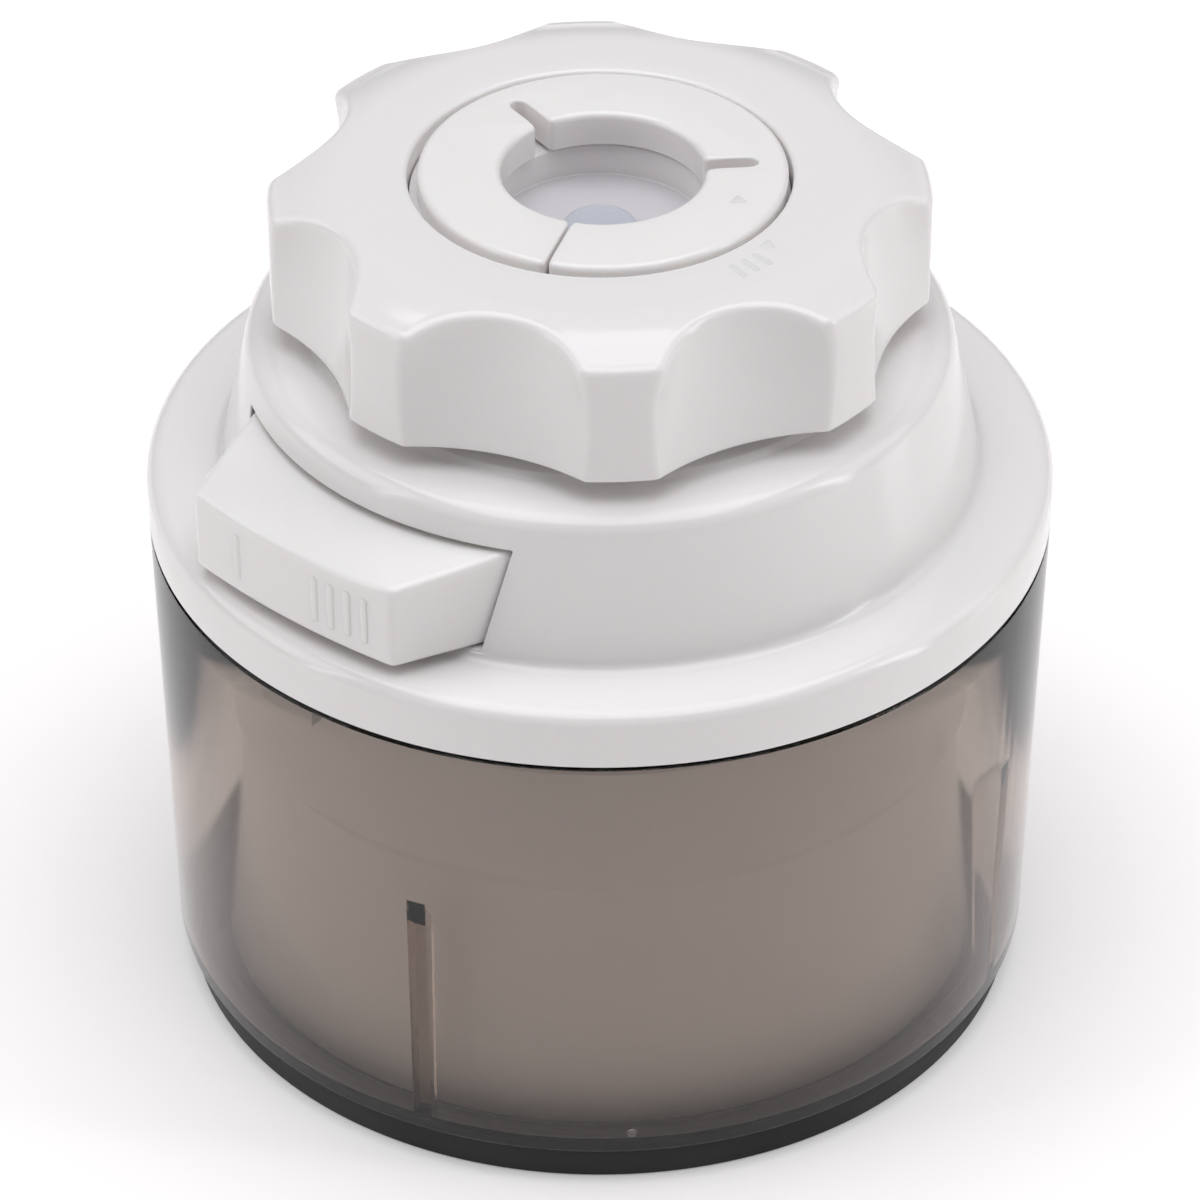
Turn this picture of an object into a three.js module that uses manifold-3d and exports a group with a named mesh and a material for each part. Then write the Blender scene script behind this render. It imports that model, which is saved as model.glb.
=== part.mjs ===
// A food-processor attachment that is driven by a hand blender from above.
// Millimetres, +Z up. The origin is on the turning axis, on the surface that the base ring stands on.
// Front is -Y. An azimuth is counted from the front towards +X.
import * as THREE from "three";
import { mergeVertices } from "three/addons/utils/BufferGeometryUtils.js";
import Module from "manifold-3d";

const wasm = await Module();
wasm.setup();

// ---- driving dimensions ----
const ROUND = 32; // facets round a large turned piece
const SMALL_ROUND = 16; // facets round a shaft, pin or screw
const GAP = 0.3; // air between two pieces that touch

const RING_HEIGHT = 7;
const RING_FOOT_R = 75.95;
const RING_TOP_R = 77.5;
const RING_INNER_R = 60;
const RING_WEB = 1.3;

const BOWL_STEP_R = RING_TOP_R - 4.6; // the bowl's foot, which the base ring wraps
const BOWL_FLOOR = 3.9;
const BOWL_BOTTOM_R = 78.2;
const BOWL_TOP_R = 79.95;
const BOWL_TOP = 93.2;
const BOWL_WALL = 2.6;
const RIB_COUNT = 4;
const RIB_AZIMUTH = -24;
const RIB_WIDTH = 3;
const RIB_TOP = 56.4;
const RIB_LEAD_IN = 5.4; // height of the slope at a rib's top
const RIB_INNER_R = 72.4;
const PIN_R = 4;
const PIN_TOP = 54.5;
const POST_R = 9; // the bowl's post, which holds the spindle pin
const POST_TOP = 7.4;

const INNER_BOTTOM = BOWL_FLOOR + GAP;
const INNER_STEP = 60;
const INNER_BOTTOM_R = 67.2;
const INNER_STEP_R = 67.8;
const INNER_TOP_R = 70.8;
const INNER_WALL = 1.8;
const INNER_TOP = 85.5;
const INNER_FLOOR = 6.3;
const CHIMNEY_R = 12.1;
const CHIMNEY_TOP = 40;

const LID_R = 80;
const RIM_INNER_R = 74.4;
const LID_BOTTOM = 94.5;
const LEDGE = 104.4;
const LEDGE_ROUND = 4;
const LEDGE_WALL = 2.6;
const CONE_FOOT_R = 66.9;
const CONE_TOP_R = 62.3;
const CONE_TOP = 126;
const PLATEAU = 131;
const PLATEAU_STEP_R = 50;
const SEAT = 132.4; // the raised ring that the knob turns on
const CEILING = 128; // inside of the hub's top wall
const PLUG_R = 68.3; // the ring that closes the inner bowl
const PLUG_BOTTOM = 80;
const NECK_R = 24.2;
const SOCKET_FLOOR = 149;
const SOCKET_BORE_R = 6.6;

const KNOB_BOTTOM = 135.8;
const KNOB_SHOULDER = 157;
const KNOB_TOP = 161.3;
const KNOB_R = 57;
const KNOB_FLAT_R = 46;
const KNOB_BORE_R = 33;
const KNOB_COLLAR_R = 28.8;
const LOBES = 8;
const LOBE_AZIMUTH = 3.6;
const SCOOP = { r: 17, centre: 64.6 }; // a finger scoop at the knob's top
const SCOOP_FOOT = { r: 43.8, centre: 95.5 }; // and at its bottom, where it is shallower

const COLLET_TOP = 162.1;
const COLLET_R = 31.8;
const COLLET_BORE_R = 17.5;
const COLLET_JAW = 155.6; // underside of the jaw ring
const COLLET_OFFSET = 0.8; // the collet sits a little to the right in the knob
const SPLIT_AZIMUTH = -17.5;
const RELIEF_AZIMUTHS = [94, -144.5];

const BUTTON_AZIMUTH = -43.6;
const BUTTON_TOP = 124.4;
const BUTTON_OUTER_TOP = 122;
const BUTTON_BOTTOM = 106.6;
const BUTTON_BACK = 50;
const BUTTON_FACE = 75.05;
const BUTTON_BOW = 1.7; // how far the face's middle stands out from its ends
const BUTTON_SKEW = 1.05; // the face's left end is this much further out, its right end less
const BUTTON_CROWN = BUTTON_FACE + BUTTON_BOW;
const BUTTON_BACK_HALF = 32.4;
const BUTTON_FACE_HALF = 22.8;
const LATCH_TOP = 90.4;
const LATCH_BOTTOM = 87.6;
const LATCH_BACK = 52;
const LATCH_TIP = 76.2;
const LATCH_HALF = 6;

const MODULE = 1.5;
const PRESSURE = THREE.MathUtils.degToRad(20);
const SUN_TEETH = 12;
const PLANET_TEETH = 18;
const RING_TEETH = SUN_TEETH + 2 * PLANET_TEETH;
const PLANETS = 3;
const PLANET_ORBIT = (MODULE * (SUN_TEETH + PLANET_TEETH)) / 2;
const ADDENDUM = 0.8 * MODULE;
const DEDENDUM = 1.15 * MODULE;
const FLANK_PLAY = 0.1; // taken off each flank
const GEAR_BOTTOM = 112.4;
const GEAR_TOP = 123.6;
const HOUSING_R = 42.6;
const HOUSING_WALL = 2.6;
const COVER_TOP = 104.3;
const LUG_R = 49;
const BOSS_R = 4;
const PILOT_R = 1.9;
const PILOT_TOP = 118;
const LUG_AZIMUTH = BUTTON_AZIMUTH + 45;

// ---- colours and finishes ----
const finish = (color, roughness, metalness = 0) =>
  new THREE.MeshStandardMaterial({ color, roughness, metalness });
const WHITE = finish(0xe9e9ec, 0.32);
const IVORY = finish(0xe4e3dc, 0.36);
const SMOKE = finish(0x6e655f, 0.08);
const BLACK_RUBBER = finish(0x202024, 0.7);
const NYLON = finish(0xd8d5c8, 0.5);
const BLUE_NYLON = finish(0x9fa9bd, 0.25);
const STEEL = finish(0xb9bcc0, 0.25, 1);
const BRONZE = finish(0xa77b4a, 0.4, 1);

// ---- shape helpers ----
const radians = THREE.MathUtils.degToRad;
const V2 = (x, y) => new THREE.Vector2(x, y);

// An arc's points in a profile, from one angle to another in degrees.
function arc(centreR, centreZ, radius, from, to, steps) {
  return Array.from({ length: steps + 1 }, (_, i) => {
    const a = radians(from + ((to - from) * i) / steps);
    return [centreR + radius * Math.cos(a), centreZ + radius * Math.sin(a)];
  });
}

// A turned piece from a profile of [radius, height] that closes on itself or on the axis, listed anticlockwise.
function turned(profile, segments = ROUND) {
  const points = profile.map(([r, z]) => V2(r, z));
  const onAxis = profile[0][0] === 0 && profile.at(-1)[0] === 0;
  if (!onAxis) points.push(points[0].clone());
  return new THREE.LatheGeometry(points, segments).rotateX(Math.PI / 2);
}

// A ring of rectangular section.
function tube(innerR, outerR, bottom, top, segments = SMALL_ROUND) {
  return turned([[innerR, bottom], [outerR, bottom], [outerR, top], [innerR, top]], segments);
}

function cylinder(radius, bottom, top, segments = SMALL_ROUND) {
  return turned([[0, bottom], [radius, bottom], [radius, top], [0, top]], segments);
}

function box(x0, x1, y0, y1, z0, z1) {
  return new THREE.BoxGeometry(x1 - x0, y1 - y0, z1 - z0).translate(
    (x0 + x1) / 2, (y0 + y1) / 2, (z0 + z1) / 2);
}

function prism(shape, bottom, top, curveSegments = 8) {
  const options = { depth: top - bottom, bevelEnabled: false, curveSegments };
  return new THREE.ExtrudeGeometry(shape, options).translate(0, 0, bottom);
}

const polygon = (corners) => new THREE.Shape(corners.map(([x, y]) => V2(x, y)));

// Turns a piece made along +X to an azimuth.
const atAzimuth = (geometry, azimuth) => geometry.clone().rotateZ(radians(azimuth - 90));

function toSolid(geometry) {
  const bare = geometry.index ? geometry.toNonIndexed() : geometry.clone();
  bare.deleteAttribute("normal");
  bare.deleteAttribute("uv");
  const merged = mergeVertices(bare, 1e-4);
  const vertProperties = merged.attributes.position.array;
  const triVerts = new Uint32Array(merged.index.array);
  return new wasm.Manifold(new wasm.Mesh({ numProp: 3, vertProperties, triVerts }));
}

function toGeometry(solid) {
  const mesh = solid.getMesh();
  const geometry = new THREE.BufferGeometry();
  geometry.setAttribute("position", new THREE.BufferAttribute(new Float32Array(mesh.vertProperties), 3));
  geometry.setIndex(new THREE.BufferAttribute(new Uint32Array(mesh.triVerts), 1));
  geometry.computeVertexNormals();
  return geometry;
}

const joined = (base, ...parts) =>
  toGeometry(parts.reduce((solid, part) => solid.add(toSolid(part)), toSolid(base)));
const cut = (base, ...parts) =>
  toGeometry(parts.reduce((solid, part) => solid.subtract(toSolid(part)), toSolid(base)));
const common = (a, b) => toGeometry(toSolid(a).intersect(toSolid(b)));

const model = new THREE.Group();

function add(name, geometry, material, parent = model) {
  const mesh = new THREE.Mesh(geometry, material);
  mesh.name = name;
  parent.add(mesh);
  return mesh;
}

// ---- base and outer bowl ----
function baseRing() {
  return turned([
    [RING_INNER_R, 0],
    [RING_FOOT_R, 0],
    [RING_TOP_R, RING_HEIGHT],
    [BOWL_STEP_R + GAP, RING_HEIGHT],
    [BOWL_STEP_R + GAP, RING_WEB],
    [RING_INNER_R, RING_WEB],
  ]);
}

function outerBowl() {
  const underside = RING_WEB + GAP;
  const step = RING_HEIGHT + GAP;
  const pinSeat = underside + 1.5;
  const shell = turned([
    [0, underside],
    [BOWL_STEP_R, underside],
    [BOWL_STEP_R, step],
    [BOWL_BOTTOM_R, step],
    [BOWL_TOP_R, BOWL_TOP],
    [BOWL_TOP_R - BOWL_WALL, BOWL_TOP],
    [BOWL_BOTTOM_R - BOWL_WALL, step + 4.5],
    [BOWL_BOTTOM_R - BOWL_WALL - 1.5, step + BOWL_WALL],
    [BOWL_STEP_R - BOWL_WALL, step + BOWL_WALL - 0.5],
    [BOWL_STEP_R - BOWL_WALL, BOWL_FLOOR],
    [POST_R, BOWL_FLOOR],
    [POST_R, POST_TOP],
    [PIN_R + GAP, POST_TOP],
    [PIN_R + GAP, pinSeat],
    [0, pinSeat],
  ]);
  const ribSide = polygon([
    [RIB_INNER_R, step + 1],
    [BOWL_BOTTOM_R - 1, step + 1],
    [BOWL_BOTTOM_R - 1, RIB_TOP],
    [BOWL_BOTTOM_R - BOWL_WALL + 0.2, RIB_TOP],
    [RIB_INNER_R, RIB_TOP - RIB_LEAD_IN],
  ]);
  const rib = prism(ribSide, -RIB_WIDTH / 2, RIB_WIDTH / 2).rotateX(Math.PI / 2);
  const ribs = Array.from({ length: RIB_COUNT }, (_, i) =>
    atAzimuth(rib, RIB_AZIMUTH + (360 / RIB_COUNT) * i));
  return joined(shell, ...ribs);
}

function spindlePin() {
  const bottom = RING_WEB + GAP + 1.5 + GAP;
  return turned([
    [0, bottom],
    [PIN_R, bottom],
    [PIN_R, PIN_TOP - 1],
    [PIN_R - 1, PIN_TOP],
    [0, PIN_TOP],
  ], SMALL_ROUND);
}

add("base_ring", baseRing(), BLACK_RUBBER);
add("outer_bowl", outerBowl(), SMOKE);
add("spindle_pin", spindlePin(), STEEL);

// ---- inner bowl ----
function innerBowl() {
  const footR = INNER_BOTTOM_R - 2;
  return turned([
    [CHIMNEY_R - 2.2, INNER_BOTTOM],
    [footR, INNER_BOTTOM],
    [INNER_BOTTOM_R, INNER_BOTTOM + 2],
    [INNER_STEP_R, INNER_STEP - 0.5],
    [INNER_TOP_R - 0.4, INNER_STEP + 3],
    [INNER_TOP_R, INNER_TOP],
    [INNER_TOP_R - INNER_WALL, INNER_TOP],
    [INNER_TOP_R - 0.4 - INNER_WALL, INNER_STEP + 3.6],
    [INNER_STEP_R - INNER_WALL, INNER_STEP],
    [INNER_BOTTOM_R - INNER_WALL, INNER_FLOOR + 2],
    [footR - INNER_WALL, INNER_FLOOR],
    [CHIMNEY_R, INNER_FLOOR],
    [CHIMNEY_R, CHIMNEY_TOP],
    [CHIMNEY_R - 2.2, CHIMNEY_TOP],
  ]);
}
add("inner_bowl", innerBowl(), WHITE);

// ---- chopping blades on their hub ----
const BLADE_LEVELS = { lower: 14, upper: 30 };
const BLADE_THICKNESS = 1.4;
const HUB_R = 15.4;
const HUB_FLANGE_R = 18.5;
const HUB_NECK_R = 10.5;
const HUB_TOP = 74;
const HEX_R = 6.2; // circumradius of the output shaft's hexagon
const HEX_PLAY = 0.4;
const SHAFT_TIP = 57.5;

function hexagon(radius) {
  return polygon(Array.from({ length: 6 }, (_, i) => {
    const a = (i * Math.PI) / 3;
    return [radius * Math.cos(a), radius * Math.sin(a)];
  }));
}

function bladeHub() {
  const pinBore = PIN_R + 0.4;
  const chimneyBore = CHIMNEY_R + 0.5;
  const spools = Object.values(BLADE_LEVELS).flatMap((level) => [
    [HUB_R, level - 3],
    [HUB_FLANGE_R, level - 3],
    [HUB_FLANGE_R, level - GAP],
    [HUB_R, level - GAP],
    [HUB_R, level + BLADE_THICKNESS + GAP],
    [HUB_FLANGE_R, level + BLADE_THICKNESS + GAP],
    [HUB_FLANGE_R, level + BLADE_THICKNESS + 3],
    [HUB_R, level + BLADE_THICKNESS + 3],
  ]);
  const body = turned([
    [chimneyBore, INNER_FLOOR + 1.7],
    [HUB_R, INNER_FLOOR + 1.7],
    ...spools,
    [HUB_R, CHIMNEY_TOP + 2],
    [HUB_NECK_R, CHIMNEY_TOP + 7],
    [HUB_NECK_R, HUB_TOP],
    [pinBore, HUB_TOP],
    [pinBore, CHIMNEY_TOP + 2],
    [chimneyBore, CHIMNEY_TOP + 2],
  ], 24);
  return cut(body, prism(hexagon(HEX_R + HEX_PLAY), SHAFT_TIP - 1.5, HUB_TOP + 1));
}

// A flat ring with two sickle arms.
function choppingBlade(level) {
  const rootR = 21;
  const tipR = 59;
  const at = (r, degrees) => V2(r * Math.cos(radians(degrees)), r * Math.sin(radians(degrees)));
  const outline = new THREE.Shape();
  outline.moveTo(...at(rootR, -20));
  for (const turn of [0, 180]) {
    const lead = at(46, turn - 8);
    const tip = at(tipR, turn + 55);
    const trail = at(40, turn + 38);
    const root = at(rootR, turn + 60);
    outline.quadraticCurveTo(lead.x, lead.y, tip.x, tip.y);
    outline.quadraticCurveTo(trail.x, trail.y, root.x, root.y);
    outline.absarc(0, 0, rootR, radians(turn + 60), radians(turn + 160), false);
  }
  const hole = new THREE.Path();
  hole.absarc(0, 0, HUB_R + GAP, 0, 2 * Math.PI, true);
  outline.holes.push(hole);
  return prism(outline, level, level + BLADE_THICKNESS, 10);
}

add("blade_hub", bladeHub(), NYLON);
add("lower_blade", choppingBlade(BLADE_LEVELS.lower), STEEL);
add("upper_blade", choppingBlade(BLADE_LEVELS.upper).rotateZ(Math.PI / 2), STEEL);

// ---- lid ----
const BEARING_R = 11.3;
const BEARING_BOTTOM = 139.6;
const BEARING_TOP = 146.2;

// The release button's plan, grown by a margin on its sides.
function buttonPlan(margin, back = BUTTON_BACK) {
  const slope = (BUTTON_BACK_HALF - BUTTON_FACE_HALF) / (BUTTON_FACE - BUTTON_BACK);
  const half = (x) => BUTTON_BACK_HALF - slope * (x - BUTTON_BACK) + margin;
  const face = [-1, -0.5, 0, 0.5, 1].map((t) => {
    const x = BUTTON_FACE + BUTTON_BOW * (1 - t * t) - BUTTON_SKEW * t + margin;
    return [x, half(BUTTON_FACE) * t];
  });
  return polygon([[back, -half(back)], ...face, [back, half(back)]]);
}

const lugPlace = (i) => {
  const a = radians(LUG_AZIMUTH - 90 + i * 90);
  return [LUG_R * Math.cos(a), LUG_R * Math.sin(a)];
};

function lid() {
  const coneWall = 2.5;
  const sleeveR = BEARING_R + GAP;
  const shell = turned([
    [RIM_INNER_R, LID_BOTTOM],
    [LID_R, LID_BOTTOM],
    ...arc(LID_R - LEDGE_ROUND, LEDGE - LEDGE_ROUND, LEDGE_ROUND, 0, 90, 3),
    [CONE_FOOT_R + 2.4, LEDGE],
    [CONE_FOOT_R + 0.6, LEDGE + 0.7],
    [CONE_FOOT_R - 0.4, LEDGE + 2.5],
    [CONE_TOP_R, CONE_TOP],
    [CONE_TOP_R - 1.4, CONE_TOP + 3.4],
    [CONE_TOP_R - 4.8, PLATEAU],
    [PLATEAU_STEP_R + 0.6, PLATEAU + 0.3],
    [PLATEAU_STEP_R, SEAT],
    [NECK_R, SEAT],
    [NECK_R, SOCKET_FLOOR],
    [SOCKET_BORE_R, SOCKET_FLOOR],
    [SOCKET_BORE_R, BEARING_TOP + GAP],
    [sleeveR, BEARING_TOP + GAP],
    [sleeveR, CEILING],
    [sleeveR + 2.4, CEILING],
    [sleeveR + 2.4, SOCKET_FLOOR - 3],
    [NECK_R - 2.4, SOCKET_FLOOR - 3],
    [NECK_R - 2.4, CEILING],
    [HOUSING_R, CEILING],
    [HOUSING_R, COVER_TOP + GAP],
    [HOUSING_R + HOUSING_WALL, COVER_TOP + GAP],
    [HOUSING_R + HOUSING_WALL, CEILING],
    [CONE_TOP_R - 5.5, CEILING],
    [CONE_TOP_R - coneWall, CONE_TOP - 1],
    [CONE_FOOT_R - coneWall, LEDGE - LEDGE_WALL],
    [RIM_INNER_R, LEDGE - LEDGE_WALL],
  ]);
  const boss = cylinder(BOSS_R, COVER_TOP + GAP, CEILING + 1, 16);
  const pilot = cylinder(PILOT_R, COVER_TOP, PILOT_TOP, 12);
  const bosses = [0, 1, 2, 3].map((i) => boss.clone().translate(...lugPlace(i), 0));
  const pilots = [0, 1, 2, 3].map((i) => pilot.clone().translate(...lugPlace(i), 0));
  const window = prism(buttonPlan(0.7, BUTTON_BACK - 4), LEDGE + 0.3, BUTTON_TOP + 0.6);
  const keepHousing = cylinder(HOUSING_R + HOUSING_WALL + 0.2, LEDGE, BUTTON_TOP + 1, ROUND);
  const windowOnly = cut(atAzimuth(window, BUTTON_AZIMUTH), keepHousing);
  return cut(joined(shell, ...bosses), ...pilots, windowOnly);
}

// The ring under the lid that closes the inner bowl, with the latch's slot through it.
function plugRing() {
  const slotHalf = LATCH_HALF + 1;
  const latchSlot = box(LATCH_BACK + 3, PLUG_R + 1, -slotHalf, slotHalf, LATCH_BOTTOM - 0.8, LATCH_TOP + 0.8);
  const ring = tube(PLUG_R - 1.6, PLUG_R, PLUG_BOTTOM, LEDGE - LEDGE_WALL - GAP, ROUND);
  return cut(ring, atAzimuth(latchSlot, BUTTON_AZIMUTH));
}
add("lid", lid(), WHITE);
add("plug_ring", plugRing(), WHITE);
add("lid_seal", tube(BOWL_TOP_R - BOWL_WALL + 0.1, LID_R - 0.3, BOWL_TOP + GAP, LID_BOTTOM - GAP, ROUND), BLACK_RUBBER);

// ---- clamp knob and collet ----
const FLANGE_R = 41;
const WASHER_TOP = SEAT + GAP + 0.8;

// A cone along +X that leans, so that its circle moves from one place to another on the way up.
function leaningCone(foot, top, bottom, height) {
  const over = 1;
  const rise = height - bottom;
  const circleAt = (z) => ({
    r: foot.r + ((top.r - foot.r) * (z - bottom)) / rise,
    centre: foot.centre + ((top.centre - foot.centre) * (z - bottom)) / rise,
  });
  const low = circleAt(bottom - over);
  const high = circleAt(height + over);
  const cone = new THREE.CylinderGeometry(high.r, low.r, rise + 2 * over, 48).rotateX(Math.PI / 2);
  const shear = (high.centre - low.centre) / (rise + 2 * over);
  const middle = (low.centre + high.centre) / 2;
  const lean = new THREE.Matrix4().set(1, 0, shear, middle, 0, 1, 0, 0, 0, 0, 1, (bottom + height) / 2, 0, 0, 0, 1);
  return cone.applyMatrix4(lean);
}

function clampKnob() {
  const flangeBottom = WASHER_TOP + GAP;
  const sleeveR = 37.4;
  const grooveR = 43.6;
  const blank = turned([
    [KNOB_COLLAR_R, flangeBottom],
    [FLANGE_R, flangeBottom],
    [FLANGE_R, flangeBottom + 1.2],
    [sleeveR, flangeBottom + 1.2],
    [sleeveR, KNOB_SHOULDER - 2],
    [grooveR, KNOB_SHOULDER - 2],
    [grooveR, KNOB_BOTTOM],
    [KNOB_R - 0.8, KNOB_BOTTOM],
    [KNOB_R, KNOB_BOTTOM + 0.8],
    [KNOB_R, KNOB_SHOULDER],
    [(KNOB_R + KNOB_FLAT_R) / 2, KNOB_TOP - 1.2],
    [KNOB_FLAT_R, KNOB_TOP],
    [KNOB_BORE_R + 0.8, KNOB_TOP],
    [KNOB_BORE_R, KNOB_TOP - 0.8],
    [KNOB_BORE_R, SOCKET_FLOOR + 0.5],
    [KNOB_COLLAR_R, SOCKET_FLOOR + 0.5],
  ]);
  const scoop = leaningCone(SCOOP_FOOT, SCOOP, KNOB_BOTTOM, KNOB_TOP);
  const scoops = Array.from({ length: LOBES }, (_, i) =>
    atAzimuth(scoop, LOBE_AZIMUTH + (360 / LOBES) * (i + 0.5)));
  return cut(blank, ...scoops);
}

function knobRetainer() {
  const outerR = FLANGE_R + 2.2;
  const retainerTop = SEAT + 4.2;
  const lipBottom = WASHER_TOP + GAP + 1.2 + GAP;
  return turned([
    [FLANGE_R + 0.4, SEAT + GAP],
    [outerR, SEAT + GAP],
    [outerR, retainerTop],
    [FLANGE_R - 2.4, retainerTop],
    [FLANGE_R - 2.4, lipBottom],
    [FLANGE_R + 0.4, lipBottom],
  ]);
}

function splitCollet() {
  const skirtR = 27.6;
  const skirtInner = 25.2;
  const skirtBottom = 139;
  const edge = 1.2;
  const blank = turned([
    [skirtInner, skirtBottom],
    [skirtR, skirtBottom],
    [skirtR, COLLET_JAW - 4.6],
    [COLLET_R, COLLET_JAW - 1.6],
    [COLLET_R, COLLET_TOP - edge],
    [COLLET_R - edge, COLLET_TOP],
    [COLLET_BORE_R + edge, COLLET_TOP],
    [COLLET_BORE_R, COLLET_TOP - edge],
    [COLLET_BORE_R, COLLET_JAW],
    [skirtInner, COLLET_JAW],
  ]);
  const split = box(COLLET_BORE_R - 2, COLLET_R + 2, -0.45, 0.45, skirtBottom - 1, COLLET_TOP + 1);
  const reliefEnd = 26.8;
  const reliefHalf = 1.5;
  const relief = joined(
    box(COLLET_BORE_R - 2, reliefEnd - reliefHalf, -reliefHalf, reliefHalf, COLLET_JAW - 1, COLLET_TOP + 1),
    cylinder(reliefHalf, COLLET_JAW - 1, COLLET_TOP + 1, 12).translate(reliefEnd - reliefHalf, 0, 0));
  const reliefs = RELIEF_AZIMUTHS.map((azimuth) => atAzimuth(relief, azimuth));
  return cut(blank, atAzimuth(split, SPLIT_AZIMUTH), ...reliefs).translate(COLLET_OFFSET, 0, 0);
}

add("clamp_knob", clampKnob(), WHITE);
add("knob_retainer", knobRetainer(), WHITE);
add("knob_washer", tube(30, FLANGE_R - 1, SEAT + GAP, WASHER_TOP, ROUND), NYLON);
add("split_collet", splitCollet(), WHITE);

// ---- release button, its spring and its latch, made along +X ----
const SPRING_R = 3.4;
const SPRING_WIRE = 0.5;
const SPRING_START = HOUSING_R + HOUSING_WALL + 1.1;
const SPRING_SEAT = 62;
const BUTTON_MIDDLE = 115;

function releaseButton() {
  const side = polygon([
    [BUTTON_BACK - 1, BUTTON_BOTTOM],
    [BUTTON_CROWN + 2, BUTTON_BOTTOM],
    [BUTTON_CROWN + 2, BUTTON_OUTER_TOP],
    [BUTTON_BACK + 12, BUTTON_TOP],
    [BUTTON_BACK - 1, BUTTON_TOP],
  ]);
  const sideSlab = prism(side, -40, 40).rotateX(Math.PI / 2);
  const block = common(prism(buttonPlan(0), BUTTON_BOTTOM - 1, BUTTON_TOP + 1), sideSlab);
  const pocket = (y0, y1) => box(BUTTON_BACK - 1, BUTTON_FACE - 3.5, y0, y1, BUTTON_BOTTOM + 2.5, BUTTON_OUTER_TOP - 2.5);
  const springHole = cylinder(SPRING_R + 1.2, BUTTON_BACK - 1, SPRING_SEAT, 16)
    .rotateY(Math.PI / 2).translate(0, 0, BUTTON_MIDDLE);
  return cut(block, pocket(7, 19), pocket(-19, -7), springHole);
}

function latchSlide() {
  const bolt = box(LATCH_BACK, LATCH_TIP, -LATCH_HALF, LATCH_HALF, LATCH_BOTTOM, LATCH_TOP);
  const arm = box(LATCH_BACK, LATCH_BACK + 3, -LATCH_HALF, LATCH_HALF, LATCH_BOTTOM, BUTTON_BOTTOM - GAP);
  return joined(bolt, arm);
}

class SpringCurve extends THREE.Curve {
  constructor(turns, start, end) {
    super();
    this.turns = turns;
    this.start = start;
    this.end = end;
  }
  getPoint(t, target = new THREE.Vector3()) {
    const a = 2 * Math.PI * this.turns * t;
    const x = this.start + (this.end - this.start) * t;
    return target.set(x, SPRING_R * Math.cos(a), BUTTON_MIDDLE + SPRING_R * Math.sin(a));
  }
}

function buttonSpring() {
  const turns = 4.5;
  const curve = new SpringCurve(turns, SPRING_START, SPRING_SEAT - 1);
  const wire = new THREE.Shape();
  wire.absarc(0, 0, SPRING_WIRE, 0, 2 * Math.PI);
  const options = { steps: Math.round(turns * 8), extrudePath: curve, bevelEnabled: false, curveSegments: 3 };
  return new THREE.ExtrudeGeometry(wire, options);
}

const buttonGroup = new THREE.Group();
buttonGroup.rotation.z = radians(BUTTON_AZIMUTH - 90);
model.add(buttonGroup);
add("release_button", releaseButton(), IVORY, buttonGroup);
add("latch_slide", latchSlide(), NYLON, buttonGroup);
add("button_spring", buttonSpring(), STEEL, buttonGroup);

// ---- gears ----
const involute = (angle) => Math.tan(angle) - angle;

// Half the angle that a tooth takes up at a radius, with play taken off its flank.
function toothHalfAngle(teeth, radius, play) {
  const pitchR = (MODULE * teeth) / 2;
  const baseR = pitchR * Math.cos(PRESSURE);
  const here = radius > baseR ? Math.acos(baseR / radius) : 0;
  return Math.PI / (2 * teeth) - play / pitchR + involute(PRESSURE) - involute(here);
}

// A gear's outline, with a tooth's middle at startAngle.
function gearOutline(path, teeth, rootR, tipR, play, startAngle) {
  const pitchR = (MODULE * teeth) / 2;
  const levels = [rootR, pitchR, tipR];
  const flank = levels.map((r) => [r, toothHalfAngle(teeth, r, play)]);
  const points = [];
  for (let i = 0; i < teeth; i++) {
    const middle = startAngle + (2 * Math.PI * i) / teeth;
    flank.forEach(([r, half]) => points.push([r, middle - half]));
    [...flank].reverse().forEach(([r, half]) => points.push([r, middle + half]));
  }
  path.setFromPoints(points.map(([r, a]) => V2(r * Math.cos(a), r * Math.sin(a))));
  return path;
}

function circlePath(radius, segments) {
  return new THREE.Path(Array.from({ length: segments }, (_, i) => {
    const a = (-2 * Math.PI * i) / segments;
    return V2(radius * Math.cos(a), radius * Math.sin(a));
  }));
}

function gear(teeth, boreR, startAngle) {
  const pitchR = (MODULE * teeth) / 2;
  const outline = gearOutline(new THREE.Shape(), teeth, pitchR - DEDENDUM, pitchR + ADDENDUM, FLANK_PLAY, startAngle);
  outline.holes.push(circlePath(boreR, SMALL_ROUND));
  return prism(outline, GEAR_BOTTOM, GEAR_TOP);
}

// The ring gear's hole has the outline of a gear whose teeth are its tooth spaces.
function ringGear() {
  const pitchR = (MODULE * RING_TEETH) / 2;
  const spaceStart = Math.PI / RING_TEETH;
  const disc = new THREE.Shape(circlePath(HOUSING_R - GAP, ROUND).getPoints().reverse());
  const hole = new THREE.Path();
  disc.holes.push(gearOutline(hole, RING_TEETH, pitchR - ADDENDUM, pitchR + DEDENDUM, -FLANK_PLAY, spaceStart));
  return prism(disc, GEAR_BOTTOM - 0.4, GEAR_TOP + 0.4);
}

const SHAFT_R = 4;
const COUPLING_R = 5.7;
const COUPLING_TOP = 150.7;
const PLANET_PIN_R = 3;

add("sun_gear", gear(SUN_TEETH, SHAFT_R + GAP, 0), STEEL);
add("ring_gear", ringGear(), NYLON);
add("input_shaft", cylinder(SHAFT_R, GEAR_BOTTOM, SOCKET_FLOOR - 0.9), STEEL);

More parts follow.
